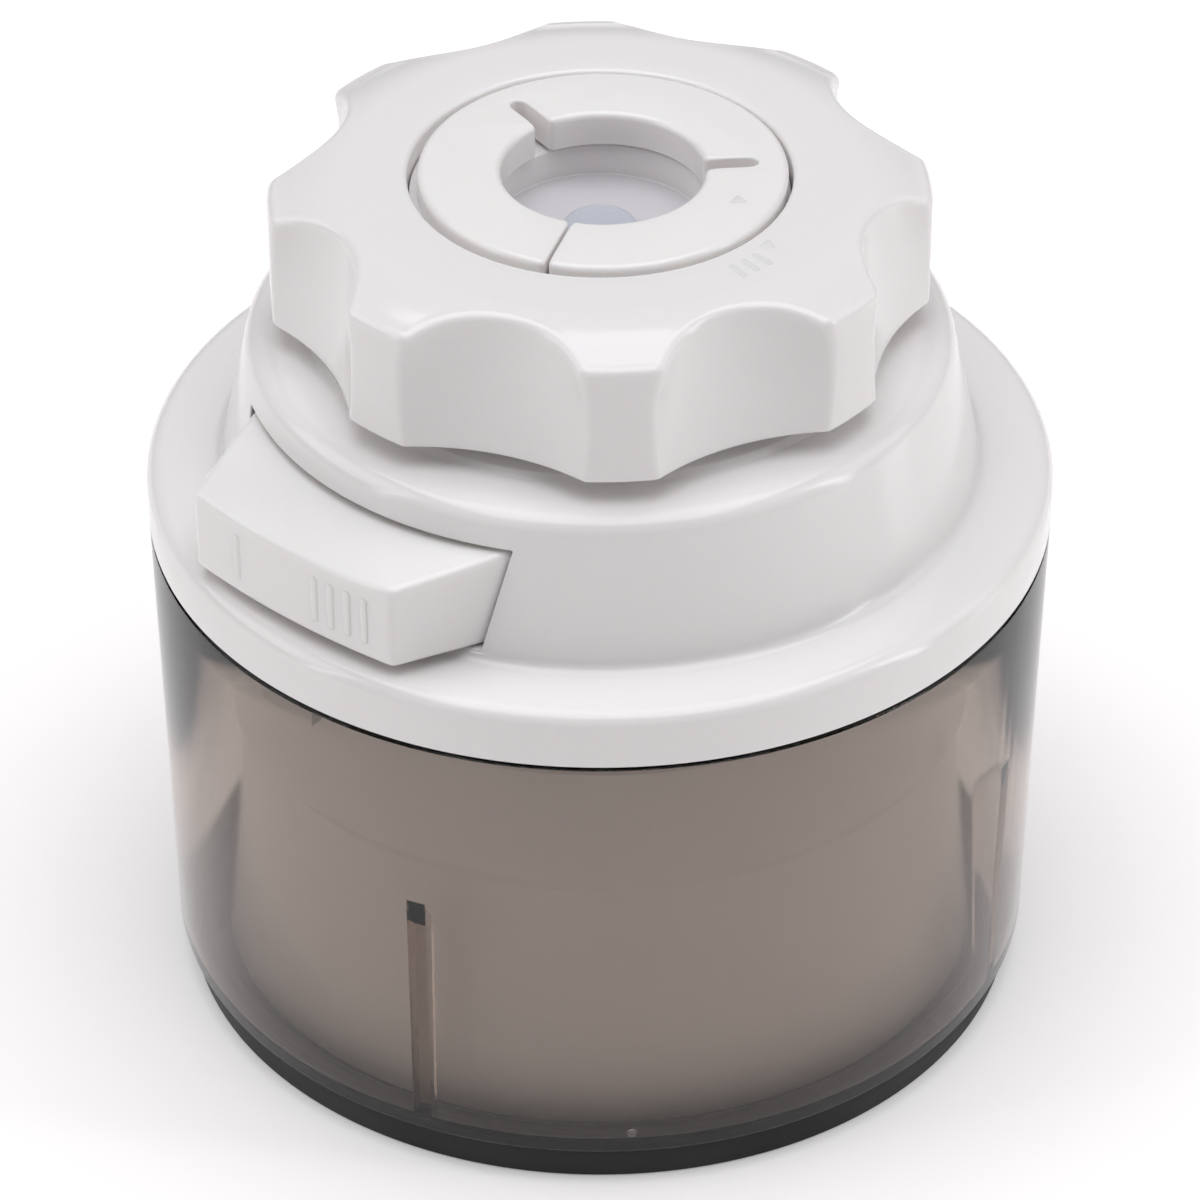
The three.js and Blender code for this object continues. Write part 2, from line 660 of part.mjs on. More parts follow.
function driveCoupling() {
  const bottom = BEARING_TOP + 0.6;
  const cap = turned([
    [0, SOCKET_FLOOR - 0.6],
    [SHAFT_R + GAP, SOCKET_FLOOR - 0.6],
    [SHAFT_R + GAP, bottom],
    [COUPLING_R, bottom],
    [COUPLING_R, COUPLING_TOP - 0.6],
    [COUPLING_R - 0.6, COUPLING_TOP],
    [0, COUPLING_TOP],
  ], 24);
  const socket = prism(hexagon(2.2), COUPLING_TOP - 1.2, COUPLING_TOP + 1);
  return cut(cap, socket);
}
add("drive_coupling", driveCoupling(), BLUE_NYLON);
add("input_bearing", tube(SHAFT_R + 0.4, BEARING_R, BEARING_BOTTOM, BEARING_TOP), STEEL);
add("bearing_clip", tube(BEARING_R - 2, BEARING_R, BEARING_BOTTOM - 1.5, BEARING_BOTTOM - GAP), STEEL);

// ---- planets and carrier ----
const CARRIER_R = 31;
const CARRIER_BOTTOM = 107.2;
const CARRIER_TOP = 111.7;
const CARRIER_HUB_R = 9;
const CARRIER_HUB_BOTTOM = 98;
const OUTPUT_R = 6;

const planetAngle = (i) => (2 * Math.PI * i) / PLANETS;
const planetPlace = (i) => [PLANET_ORBIT * Math.cos(planetAngle(i)), PLANET_ORBIT * Math.sin(planetAngle(i)), 0];

function planetCarrier() {
  const disc = turned([
    [OUTPUT_R + GAP, CARRIER_HUB_BOTTOM],
    [CARRIER_HUB_R, CARRIER_HUB_BOTTOM],
    [CARRIER_HUB_R, CARRIER_BOTTOM],
    [CARRIER_R, CARRIER_BOTTOM],
    [CARRIER_R, CARRIER_TOP],
    [OUTPUT_R + GAP, CARRIER_TOP],
  ], 24);
  const pinHole = cylinder(PLANET_PIN_R + GAP, CARRIER_BOTTOM - 1, CARRIER_TOP + 1, 16);
  const pinHoles = Array.from({ length: PLANETS }, (_, i) => pinHole.clone().translate(...planetPlace(i)));
  return cut(disc, ...pinHoles);
}

function outputShaft() {
  const round = cylinder(OUTPUT_R, HUB_TOP + 1, CARRIER_TOP - 0.5, 24);
  return joined(round, prism(hexagon(HEX_R), SHAFT_TIP, HUB_TOP + 2));
}

add("planet_carrier", planetCarrier(), STEEL);
add("output_shaft", outputShaft(), STEEL);
for (let i = 0; i < PLANETS; i++) {
  const spaceTowardsSun = Math.PI + Math.PI / PLANET_TEETH;
  const planet = add(`planet_gear_${i + 1}`, gear(PLANET_TEETH, PLANET_PIN_R + 0.35, spaceTowardsSun), NYLON);
  planet.position.set(...planetPlace(i));
  planet.rotation.z = planetAngle(i);
  const pin = add(`planet_pin_${i + 1}`, cylinder(PLANET_PIN_R, CARRIER_BOTTOM + 0.4, GEAR_TOP + 0.8), STEEL);
  pin.position.set(...planetPlace(i));
}

// ---- gearbox cover, its bush, seal and screws ----
const BUSH_R = 12;

function gearboxCover() {
  const plateBottom = COVER_TOP - 2.5;
  const sleeveR = BUSH_R + GAP;
  const plate = turned([
    [sleeveR, 96.5],
    [sleeveR + 2.6, 96.5],
    [sleeveR + 2.6, plateBottom],
    [HOUSING_R + HOUSING_WALL, plateBottom],
    [HOUSING_R + HOUSING_WALL, COVER_TOP],
    [sleeveR + 2.6, COVER_TOP],
    [sleeveR + 2.6, CARRIER_BOTTOM - 0.8],
    [sleeveR, CARRIER_BOTTOM - 0.8],
  ]);
  const lug = joined(cylinder(4.6, plateBottom, COVER_TOP, 16), box(-8, 0, -4, 4, plateBottom, COVER_TOP));
  const hole = cylinder(1.9, plateBottom - 1, COVER_TOP + 1, 12);
  const place = (piece, i) => piece.clone().translate(LUG_R, 0, 0).rotateZ(radians(LUG_AZIMUTH - 90 + 90 * i));
  const each = [0, 1, 2, 3];
  return cut(joined(plate, ...each.map((i) => place(lug, i))), ...each.map((i) => place(hole, i)));
}

function coverScrew() {
  const headTop = COVER_TOP - 2.5 - GAP;
  return turned([
    [0, headTop - 2.4],
    [3.2, headTop - 2.4],
    [3.2, headTop],
    [1.5, headTop],
    [1.5, 115.5],
    [0, 117],
  ], 12);
}

add("gearbox_cover", gearboxCover(), WHITE);
add("carrier_bush", tube(CARRIER_HUB_R + GAP, BUSH_R, 99.5, CARRIER_BOTTOM - 0.8, 24), BRONZE);
add("shaft_seal", tube(CARRIER_HUB_R + GAP, BUSH_R, 96.8, 99.2, 24), BLACK_RUBBER);
for (let i = 0; i < 4; i++) {
  const screw = add(`cover_screw_${i + 1}`, coverScrew(), STEEL);
  screw.position.set(...lugPlace(i), 0);
}

export default model;
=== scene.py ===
import math

import bmesh
import bpy
import numpy as np
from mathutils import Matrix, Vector


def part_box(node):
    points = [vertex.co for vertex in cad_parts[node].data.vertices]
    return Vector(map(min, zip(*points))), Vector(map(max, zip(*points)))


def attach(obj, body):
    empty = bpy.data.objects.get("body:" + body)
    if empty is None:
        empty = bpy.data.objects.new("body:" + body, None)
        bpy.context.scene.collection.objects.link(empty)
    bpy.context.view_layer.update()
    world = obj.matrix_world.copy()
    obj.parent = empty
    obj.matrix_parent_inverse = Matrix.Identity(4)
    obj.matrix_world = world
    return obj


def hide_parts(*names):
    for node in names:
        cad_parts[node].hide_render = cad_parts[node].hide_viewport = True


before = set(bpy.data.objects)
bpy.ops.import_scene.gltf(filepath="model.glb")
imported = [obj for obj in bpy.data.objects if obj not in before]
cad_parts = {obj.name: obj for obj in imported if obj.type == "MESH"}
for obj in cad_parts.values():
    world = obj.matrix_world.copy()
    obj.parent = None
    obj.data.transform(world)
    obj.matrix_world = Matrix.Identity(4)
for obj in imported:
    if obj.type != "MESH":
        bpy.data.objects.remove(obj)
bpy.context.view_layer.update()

MM = 0.001


def node_box(node):
    """A CAD node's lowest and highest corner in millimetres."""
    low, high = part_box(node)
    return low / MM, high / MM


# ---- dimensions read from the frame ----
RING_TOP = node_box("base_ring")[1].z
BOWL_LOW, BOWL_HIGH = node_box("outer_bowl")
INNER_LOW, INNER_HIGH = node_box("inner_bowl")
LID_R = node_box("lid")[1].x
KNOB_TOP = node_box("clamp_knob")[1].z
COLLET_TOP = node_box("split_collet")[1].z
COUPLING_LOW, COUPLING_HIGH = node_box("drive_coupling")
SEAL_BOTTOM = node_box("lid_seal")[0].z
SHAFT_LOW, SHAFT_HIGH = node_box("output_shaft")
BOWL_R = BOWL_HIGH.x
BOWL_TOP = BOWL_HIGH.z

# ---- dimensions of the smooth pieces that stand for faceted nodes ----
# outer bowl and ring
BOWL_WALL = 2.6
RING_GAP = 0.3
BOWL_BOTTOM_R = 78.2
BOWL_STEP_R = 72.9
STUD_R, STUD_TOP = 9.0, 14.0
BOWL_FLOOR = 3.9
RIB_AZIMUTHS = (-24, 66, 156, 246)
RIB_WIDTH = 3.0
RIB_TOP = 58.2
RIB_LEAD_IN = 6.8
RIB_INNER_R = 72.4
# inner bowl
INNER_STEP = 60.0
INNER_BOTTOM_R = 67.2
INNER_STEP_R = 67.8
INNER_TOP_R = 70.8
CHIMNEY_R = 12.1
CHIMNEY_TOP = 40.0
# lid
RIM_LOW = 94.0
RIM_INNER_R = 74.4
LEDGE = 104.4
LEDGE_R = 73.5
CONE_FOOT_R = 66.9
CONE_TOP_R = 62.3
CONE_TOP = 126.0
PLATEAU = 131.0
SEAT_R = 49.8
SEAT = 132.4
LID_WALL = 2.5
CEILING = 128.0
NECK_R = 24.2
SOCKET_FLOOR = 149.0
SLEEVE_TOP = 147.5
SOCKET_R = 18.7
SOCKET_BORE_R = 6.7
# clamp knob
KNOB_R = 57.0
KNOB_BOTTOM = 135.8
KNOB_SHOULDER = 157.0
KNOB_FLAT_R = 44.0
KNOB_BORE_R = 33.0
KNOB_COLLAR_R = 28.8
LOBES = 8
LOBE_AZIMUTH = 3.6
SCOOP_R, SCOOP_CENTRE = 17.0, 64.6
SCOOP_FOOT_R, SCOOP_FOOT_CENTRE = 43.8, 95.5
# split collet
COLLET_R = 31.8
COLLET_BORE_R = 17.5
COLLET_JAW = 155.6
COLLET_OFFSET = 0.5
SPLIT_AZIMUTH = -17.5
RELIEF_AZIMUTHS = (94, -144.5)
# release button
BUTTON_AZIMUTH = -43.6
BUTTON_TOP = 124.4
BUTTON_OUTER_TOP = 122.0
BUTTON_BOTTOM = 106.6
BUTTON_BACK = 50.0
BUTTON_FACE = 75.05
BUTTON_BOW = 1.7
BUTTON_SKEW = 1.05
BUTTON_BACK_HALF = 32.4
BUTTON_FACE_HALF = 22.8
WINDOW_MARGIN = 0.5
# how far the plain marks stand proud, and how many points go round a turned piece
MARK_HEIGHT = 0.12
ROUND = 192


# ---- mesh helpers ----
def direction(azimuth):
    """Unit vector in plan towards an azimuth."""
    a = math.radians(azimuth)
    return np.array([math.sin(a), -math.cos(a)])


def outward_and_across(azimuth):
    """Unit vectors in plan towards an azimuth and a quarter turn on from it."""
    out = direction(azimuth)
    return out, np.array([-out[1], out[0]])


def placed(name, data):
    """A new object in the scene that holds this mesh, lamp or camera."""
    obj = bpy.data.objects.new(name, data)
    bpy.context.scene.collection.objects.link(obj)
    return obj


def piece(name, verts, faces, body, material, replaces=(), sharp=38):
    """A mesh object of millimetre points that rides on a CAD body and stands for CAD nodes."""
    mesh = bpy.data.meshes.new(name)
    mesh.from_pydata((np.asarray(verts, float) * MM).tolist(), [], faces)
    cleaned = bmesh.new()
    cleaned.from_mesh(mesh)
    bmesh.ops.remove_doubles(cleaned, verts=cleaned.verts, dist=0.002 * MM)
    bmesh.ops.dissolve_degenerate(cleaned, edges=cleaned.edges, dist=0.001 * MM)
    bmesh.ops.recalc_face_normals(cleaned, faces=cleaned.faces)
    cleaned.to_mesh(mesh)
    cleaned.free()
    mesh.polygons.foreach_set("use_smooth", [True] * len(mesh.polygons))
    mesh.set_sharp_from_angle(angle=math.radians(sharp))
    obj = placed(name, mesh)
    mesh.materials.append(material)
    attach(obj, body)
    if replaces:
        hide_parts(*replaces)
    return obj


def filleted(corners, closed=True, steps=5):
    """A polyline through (a, b, radius) corners with each corner rounded to its radius."""
    line = [np.array(c[:2], float) for c in corners]
    radii = [c[2] if len(c) > 2 else 0 for c in corners]
    count = len(line)
    points = []
    for i, (corner, radius) in enumerate(zip(line, radii)):
        ends = not closed and i in (0, count - 1)
        if radius <= 0 or ends:
            points.append(corner)
            continue
        before = line[i - 1] - corner
        after = line[(i + 1) % count] - corner
        room = min(np.linalg.norm(before), np.linalg.norm(after)) * 0.49
        before = before / np.linalg.norm(before)
        after = after / np.linalg.norm(after)
        half = math.acos(np.clip(before @ after, -1, 1)) / 2
        reach = min(radius / math.tan(half), room)
        start = corner + before * reach
        end = corner + after * reach
        middle = (before + after) / np.linalg.norm(before + after)
        centre = corner + middle * reach / math.cos(half)
        r = np.linalg.norm(start - centre)
        a0 = math.atan2(*(start - centre)[::-1])
        turn = math.atan2(*(end - centre)[::-1]) - a0
        turn = (turn + math.pi) % (2 * math.pi) - math.pi
        for k in range(steps + 1):
            a = a0 + turn * k / steps
            points.append(centre + r * np.array([math.cos(a), math.sin(a)]))
    return points


def revolve(profile, closed, segments):
    """Points and faces of a turned piece, from (radius, height) points."""
    profile = np.asarray(profile, float)
    rows = len(profile)
    angles = np.arange(segments) * 2 * math.pi / segments
    r, z = profile[:, 0][None, :], profile[:, 1][None, :]
    x = np.cos(angles)[:, None] * r
    y = np.sin(angles)[:, None] * r
    verts = np.stack([x, y, np.broadcast_to(z, x.shape)], axis=-1).reshape(-1, 3)
    faces = []
    for i in range(segments):
        here, there = i * rows, (i + 1) % segments * rows
        for j in range(rows if closed else rows - 1):
            k = (j + 1) % rows
            faces.append((here + j, there + j, there + k, here + k))
    return verts, faces


def turned(name, corners, body, material, replaces=(), closed=True, segments=ROUND):
    """A turned piece with rounded corners. A profile that isn't closed starts and ends on the axis."""
    verts, faces = revolve(filleted(corners, closed), closed, segments)
    return piece(name, verts, faces, body, material, replaces)


def resampled(points, count):
    """Points evenly spaced along a closed line."""
    loop = np.vstack([points, points[:1]])
    steps = np.linalg.norm(np.diff(loop, axis=0), axis=1)
    along = np.concatenate([[0], np.cumsum(steps)])
    wanted = np.arange(count) * along[-1] / count
    return np.stack([np.interp(wanted, along, loop[:, k]) for k in (0, 1)], axis=1)


def smoothed(points, radius):
    """A closed line with its corners rounded to about this radius."""
    length = np.linalg.norm(np.roll(points, -1, axis=0) - points, axis=1).sum()
    sigma = radius * 0.62 / (length / len(points))
    reach = int(4 * sigma) + 1
    weights = np.exp(-0.5 * (np.arange(-reach, reach + 1) / sigma) ** 2)
    weights /= weights.sum()
    return sum(w * np.roll(points, k, axis=0) for w, k in zip(weights, range(-reach, reach + 1)))


def outline_normals(points):
    """Outward unit normals of an anticlockwise closed line."""
    tangent = np.roll(points, -1, axis=0) - np.roll(points, 1, axis=0)
    tangent /= np.linalg.norm(tangent, axis=1)[:, None]
    return np.stack([tangent[:, 1], -tangent[:, 0]], axis=1)


def at_height(points, z):
    """Plan points with a height, which can differ from point to point."""
    return np.column_stack([points, np.broadcast_to(z, len(points))])


def stacked(loops, closed=False):
    """Points and faces that join loops of equal length in order."""
    verts = np.concatenate(loops)
    count, size = len(loops), len(loops[0])
    faces = []
    for i in range(count if closed else count - 1):
        here, there = i * size, (i + 1) % count * size
        for j in range(size):
            k = (j + 1) % size
            faces.append((here + j, here + k, there + k, there + j))
    return verts, faces


def capped(loops):
    """Points and faces that join loops in order and close the first and the last one."""
    verts, faces = stacked(loops)
    size = len(loops[0])
    last = (len(loops) - 1) * size
    faces.append(tuple(range(last, last + size)))
    faces.append(tuple(range(size - 1, -1, -1)))
    return verts, faces


# ---- materials ----
def new_material(name):
    """A material with its nodes, its links and its shader."""
    material = bpy.data.materials.new(name)
    material.use_nodes = True
    nodes, links = material.node_tree.nodes, material.node_tree.links
    return material, nodes, links, nodes["Principled BSDF"]


def surface_detail(nodes, links, shader, roughness, spread, grain_scale, grain_height):
    """Roughness that varies softly over the piece, and a fine moulded grain as bump."""
    coordinates = nodes.new("ShaderNodeTexCoord")
    cloud = nodes.new("ShaderNodeTexNoise")
    cloud.inputs["Scale"].default_value = 38
    cloud.inputs["Detail"].default_value = 5
    span = nodes.new("ShaderNodeMapRange")
    span.inputs["From Min"].default_value = 0.3
    span.inputs["From Max"].default_value = 0.7
    span.inputs["To Min"].default_value = roughness - spread
    span.inputs["To Max"].default_value = roughness + spread
    grain = nodes.new("ShaderNodeTexNoise")
    grain.inputs["Scale"].default_value = grain_scale
    grain.inputs["Detail"].default_value = 3
    bump = nodes.new("ShaderNodeBump")
    bump.inputs["Strength"].default_value = 0.25
    bump.inputs["Distance"].default_value = grain_height * MM
    links.new(coordinates.outputs["Object"], cloud.inputs["Vector"])
    links.new(coordinates.outputs["Object"], grain.inputs["Vector"])
    links.new(cloud.outputs["Fac"], span.inputs["Value"])
    links.new(span.outputs["Result"], shader.inputs["Roughness"])
    links.new(grain.outputs["Fac"], bump.inputs["Height"])
    links.new(bump.outputs["Normal"], shader.inputs["Normal"])
    return coordinates, grain, bump


def mottled_colour(nodes, links, shader, grain, colour, contrast):
    """Base colour that is a little lighter and darker from grain to grain."""
    ramp = nodes.new("ShaderNodeValToRGB")
    ramp.color_ramp.elements[0].position = 0.3
    ramp.color_ramp.elements[1].position = 0.7
    ramp.color_ramp.elements[0].color = (*[c * (1 - contrast) for c in colour], 1)
    ramp.color_ramp.elements[1].color = (*[min(1, c * (1 + contrast)) for c in colour], 1)
    links.new(grain.outputs["Fac"], ramp.inputs["Fac"])
    links.new(ramp.outputs["Color"], shader.inputs["Base Color"])


def moulded_plastic(name, colour, roughness, contrast=0.006, subsurface=0.0, depth=3.5):
    """Smooth moulded plastic. Light goes a few millimetres deep where it has subsurface."""
    material, nodes, links, shader = new_material(name)
    _, grain, _ = surface_detail(nodes, links, shader, roughness, 0.012, 1400, 0.006)
    mottled_colour(nodes, links, shader, grain, colour, contrast)
    shader.inputs["IOR"].default_value = 1.5
    shader.inputs["Subsurface Weight"].default_value = subsurface
    shader.inputs["Subsurface Radius"].default_value = (1.0, 0.8, 0.7)
    shader.inputs["Subsurface Scale"].default_value = depth * MM
    return material


def clear_plastic(name, colour, tint, density, roughness):
    """Clear plastic, tinted all over and a little more where light passes through more of it."""
    material, nodes, links, shader = new_material(name)
    coordinates = nodes.new("ShaderNodeTexCoord")
    cloud = nodes.new("ShaderNodeTexNoise")
    cloud.inputs["Scale"].default_value = 30
    span = nodes.new("ShaderNodeMapRange")
    span.inputs["To Min"].default_value = roughness * 0.6
    span.inputs["To Max"].default_value = roughness * 1.4
    links.new(coordinates.outputs["Object"], cloud.inputs["Vector"])
    links.new(cloud.outputs["Fac"], span.inputs["Value"])
    links.new(span.outputs["Result"], shader.inputs["Roughness"])
    shader.inputs["Base Color"].default_value = (*colour, 1)
    shader.inputs["Transmission Weight"].default_value = 1
    shader.inputs["IOR"].default_value = 1.45
    shader.inputs["Specular IOR Level"].default_value = 0.08
    absorption = nodes.new("ShaderNodeVolumeAbsorption")
    absorption.inputs["Color"].default_value = (*tint, 1)
    absorption.inputs["Density"].default_value = density
    links.new(absorption.outputs["Volume"], nodes["Material Output"].inputs["Volume"])
    return material


def rubber(name, colour):
    """Matt rubber with a coarser grain than the plastics."""
    material, nodes, links, shader = new_material(name)
    _, grain, bump = surface_detail(nodes, links, shader, 0.55, 0.08, 1600, 0.06)
    bump.inputs["Strength"].default_value = 0.5
    mottled_colour(nodes, links, shader, grain, colour, 0.15)
    shader.inputs["Specular IOR Level"].default_value = 0.3
    return material


def turned_metal(name, colour, roughness, brushed=True):
    """Metal with fine turning or grinding lines."""
    material, nodes, links, shader = new_material(name)
    coordinates, grain, bump = surface_detail(nodes, links, shader, roughness, 0.06, 700, 0.02)
    mottled_colour(nodes, links, shader, grain, colour, 0.05)
    shader.inputs["Metallic"].default_value = 1
    if brushed:
        stretch = nodes.new("ShaderNodeMapping")
        stretch.inputs["Scale"].default_value = (40, 40, 2500)
        lines = nodes.new("ShaderNodeTexNoise")
        lines.inputs["Scale"].default_value = 1
        links.new(coordinates.outputs["Object"], stretch.inputs["Vector"])
        links.new(stretch.outputs["Vector"], lines.inputs["Vector"])
        links.new(lines.outputs["Fac"], bump.inputs["Height"])
    return material


# the lid's glossy white, the bowl's and latch's matt white, the collet's and marks' whites, and the socket's
# grey, which is painted shade
WHITE = moulded_plastic("white_plastic", (0.872, 0.849, 0.843), 0.14, subsurface=0.2, depth=2.5)
BRIGHT_WHITE = moulded_plastic("white_inner_plastic", (0.965, 0.95, 0.925), 0.3)
COLLET_WHITE = moulded_plastic("white_collet_plastic", (0.905, 0.88, 0.868), 0.16, subsurface=0.3, depth=3)
# the socket's grey is painted shade that darkens the floor of the collet's deep hole, not the plastic's own
# colour
SOCKET_SHADE_GREY = moulded_plastic("socket_painted_shade_grey", (0.64, 0.62, 0.645), 0.25, subsurface=0.2, depth=2.5)
WHITE_MARK = moulded_plastic("white_mark_plastic", (0.80, 0.785, 0.785), 0.16)
# the release button and its grip ribs
IVORY = moulded_plastic("ivory_plastic", (0.868, 0.85, 0.84), 0.18, subsurface=0.3, depth=3)
IVORY_MARK = moulded_plastic("ivory_mark_plastic", (0.84, 0.825, 0.81), 0.2)
SMOKE = clear_plastic("smoke_plastic", (0.997, 0.994, 0.992), (0.45, 0.30, 0.20), 190, 0.05)
RUBBER = rubber("black_rubber", (0.006, 0.006, 0.008))
NYLON = moulded_plastic("natural_nylon", (0.66, 0.64, 0.56), 0.45, contrast=0.03, subsurface=0.15)
COUPLING_BLUE = moulded_plastic("bluish_nylon", (0.53, 0.56, 0.62), 0.2, contrast=0.03, subsurface=0.3)
STEEL = turned_metal("ground_steel", (0.62, 0.62, 0.63), 0.24)
BRONZE = turned_metal("sintered_bronze", (0.42, 0.27, 0.13), 0.42, brushed=False)


# ---- base ring and outer bowl ----
def base_ring():
    """The rubber ring, pressed against the clear bowl so that no air shows between them."""
    contact = 0.05
    top = RING_TOP + RING_GAP + contact
    under_bowl = BOWL_LOW.z + contact
    wall_r = BOWL_STEP_R - contact
    inner_r, foot_r, top_r = 60, 75.95, 77.5
    sole = []
    for groove_r in (63, 67.5, 72):
        sole += [
            (groove_r, 0, 0.3),
            (groove_r + 0.3, 0.5, 0.1),
            (groove_r + 1.2, 0.5, 0.1),
            (groove_r + 1.5, 0, 0.3),
        ]
    turned("base_ring_piece", [
        (inner_r, 0, 0.3),
        *sole,
        (foot_r, 0, 0.7),
        (top_r, top, 0.5),
        (wall_r, top, 0.2),
        (wall_r, under_bowl, 0),
        (inner_r, under_bowl, 0.3),
    ], "bowl_base", RUBBER, ["base_ring"])


def from_rib(azimuth):
    """How many degrees an azimuth is away from the nearest guide rib."""
    return min(abs((azimuth - rib + 180) % 360 - 180) for rib in RIB_AZIMUTHS)


def rib_depth(azimuth, z):
    """How far a guide rib stands in from the bowl's wall at a place on it, from 0 to 1."""
    wall_r = 75
    across = math.radians(from_rib(azimuth)) * wall_r
    edge = 0.4
    side = np.clip((RIB_WIDTH / 2 + edge / 2 - across) / edge, 0, 1)
    slope = np.clip((RIB_TOP - z) / RIB_LEAD_IN, 0, 1)
    return float(side * side * (3 - 2 * side) * slope)


def outer_bowl():
    """The smoke-tinted bowl: stepped foot, hollow stud for the spindle pin, four guide ribs inside."""
    step = RING_TOP + RING_GAP
    inner_corner = step + 1.6
    pin_r, pin_floor = 4.3, BOWL_LOW.z + 1.5
    underside = BOWL_LOW.z
    inner_bottom = BOWL_BOTTOM_R - BOWL_WALL
    inner_top = BOWL_R - BOWL_WALL
    top = SEAL_BOTTOM
    outside = [
        (0, underside),
        (20, underside),
        (BOWL_STEP_R, underside, 0.5),
        (BOWL_STEP_R, step, 0.3),
        (BOWL_BOTTOM_R, step, 0.7),
        (BOWL_R, top, 0.4),
        (inner_top, top, 0.4),
    ]
    wall_low = 12
    taper = (inner_top - inner_bottom) / (BOWL_TOP - wall_low)
    wall_heights = [86, 72, 60, *np.linspace(RIB_TOP, RIB_TOP - RIB_LEAD_IN, 5), 45, 30, 18, 15.2]
    wall = [(inner_bottom + taper * (z - wall_low), z) for z in wall_heights]
    inside = [
        (inner_bottom, inner_corner + 0.1, 0.7),
        (BOWL_STEP_R - BOWL_WALL, inner_corner, 0.8),
        (BOWL_STEP_R - BOWL_WALL, BOWL_FLOOR, 1.5),
        (STUD_R, BOWL_FLOOR, 0.8),
        (STUD_R, STUD_TOP, 0.6),
        (pin_r, STUD_TOP, 0.3),
        (pin_r, pin_floor),
        (0, pin_floor),
    ]
    profile = filleted(outside + wall + inside, closed=False)
    coarse = [a for a in np.arange(240) * 1.5 if from_rib(a) >= 1.6]
    fine = np.concatenate([a + np.linspace(-1.4, 1.4, 29) for a in RIB_AZIMUTHS]) % 360
    azimuths = np.unique(np.round(np.concatenate([coarse, fine]), 4))
    verts = []
    for azimuth in azimuths:
        along = direction(azimuth)
        for r, z in profile:
            if z > BOWL_FLOOR + 0.5 and RIB_INNER_R < r <= BOWL_BOTTOM_R - 1:
                r -= rib_depth(azimuth, z) * (r - RIB_INNER_R)
            verts.append((*(along * r), z))
    rows, columns = len(profile), len(azimuths)
    faces = []
    for i in range(columns):
        here, there = i * rows, (i + 1) % columns * rows
        for j in range(rows - 1):
            faces.append((here + j, there + j, there + j + 1, here + j + 1))
    piece("outer_bowl_piece", verts, faces, "bowl_base", SMOKE, ["outer_bowl"], sharp=20)


def gate_mark():
    """The small round mark that moulding leaves on the bowl's foot."""
    azimuth, height, radius = 4.1, 12.0, 0.9
    gap, proud = 0.02, 0.3
    out, side = outward_and_across(azimuth)
    rise = (height - RING_TOP) / (BOWL_TOP - RING_TOP)
    wall_r = BOWL_BOTTOM_R + (BOWL_R - BOWL_BOTTOM_R) * rise
    around = np.linspace(0, 2 * math.pi, 33)[:-1]
    loops = []
    for a in np.linspace(0, math.pi / 2, 5)[:-1]:
        r = radius * math.cos(a)
        face = out * (wall_r + gap + proud * math.sin(a))
        plan = [face + side * r * math.cos(t) for t in around]
        loops.append(at_height(plan, height + r * np.sin(around)))
    verts, faces = capped(loops)
    piece("bowl_gate_mark", verts, faces, "bowl_base", SMOKE)


def spindle_pin():
    low, high = node_box("spindle_pin")
    turned("spindle_pin_piece", [
        (0, low.z),
        (high.x, low.z, 0.3),
        (high.x, high.z, 1.2),
        (0, high.z),
    ], "bowl_base", STEEL, ["spindle_pin"], closed=False, segments=48)


# ---- inner bowl ----
def inner_bowl():
    """The white bowl: a stepped foot, a soft step in its wall and a chimney for the blade hub."""
    low, top = INNER_LOW.z, INNER_HIGH.z
    wall = 1.8
    foot = INNER_BOTTOM_R - 3
    foot_top = low + 1.9
    floor_z = 6.3
    chimney_bore_r = CHIMNEY_R - 2.2
    turned("inner_bowl_piece", [
        (chimney_bore_r, low, 0.3),
        (foot, low, 0.4),
        (foot, foot_top, 0.3),
        (INNER_BOTTOM_R, foot_top, 0.5),
        (INNER_STEP_R, INNER_STEP - 1.5, 2.5),
        (INNER_TOP_R - 0.4, INNER_STEP + 2.5, 2.5),
        (INNER_TOP_R, top, 0.6),
        (INNER_TOP_R - wall, top, 0.6),
        (INNER_TOP_R - 0.4 - wall, INNER_STEP + 3, 2),
        (INNER_STEP_R - wall, INNER_STEP - 0.5, 2),
        (INNER_BOTTOM_R - wall, floor_z + 1.1, 2),
        (foot - wall, floor_z, 2),
        (CHIMNEY_R, floor_z, 1.5),
        (CHIMNEY_R, CHIMNEY_TOP, 0.6),
        (chimney_bore_r, CHIMNEY_TOP, 0.5),
    ], "inner_bowl", BRIGHT_WHITE, ["inner_bowl"])


# ---- lid ----
def window_half(x):
    """Half the width of the release button's window at a distance from the axis."""
    slope = (BUTTON_BACK_HALF - BUTTON_FACE_HALF) / (BUTTON_FACE - BUTTON_BACK)
    return BUTTON_BACK_HALF - slope * (x - BUTTON_BACK) + WINDOW_MARGIN


def window_half_angle(radius):
    """Half the angle of the button's window on a circle of this radius, in degrees."""
    low, high = 0.0, 60.0
    for _ in range(40):
        middle = (low + high) / 2
        angle = math.radians(middle)
        if radius * math.sin(angle) < window_half(radius * math.cos(angle)):
            low = middle
        else:
            high = middle
    return low


def on_cone(z):
    """The hub's outer radius at a height."""
    slope = (CONE_TOP_R - CONE_FOOT_R) / (CONE_TOP - LEDGE)
    return CONE_FOOT_R + slope * (z - LEDGE)


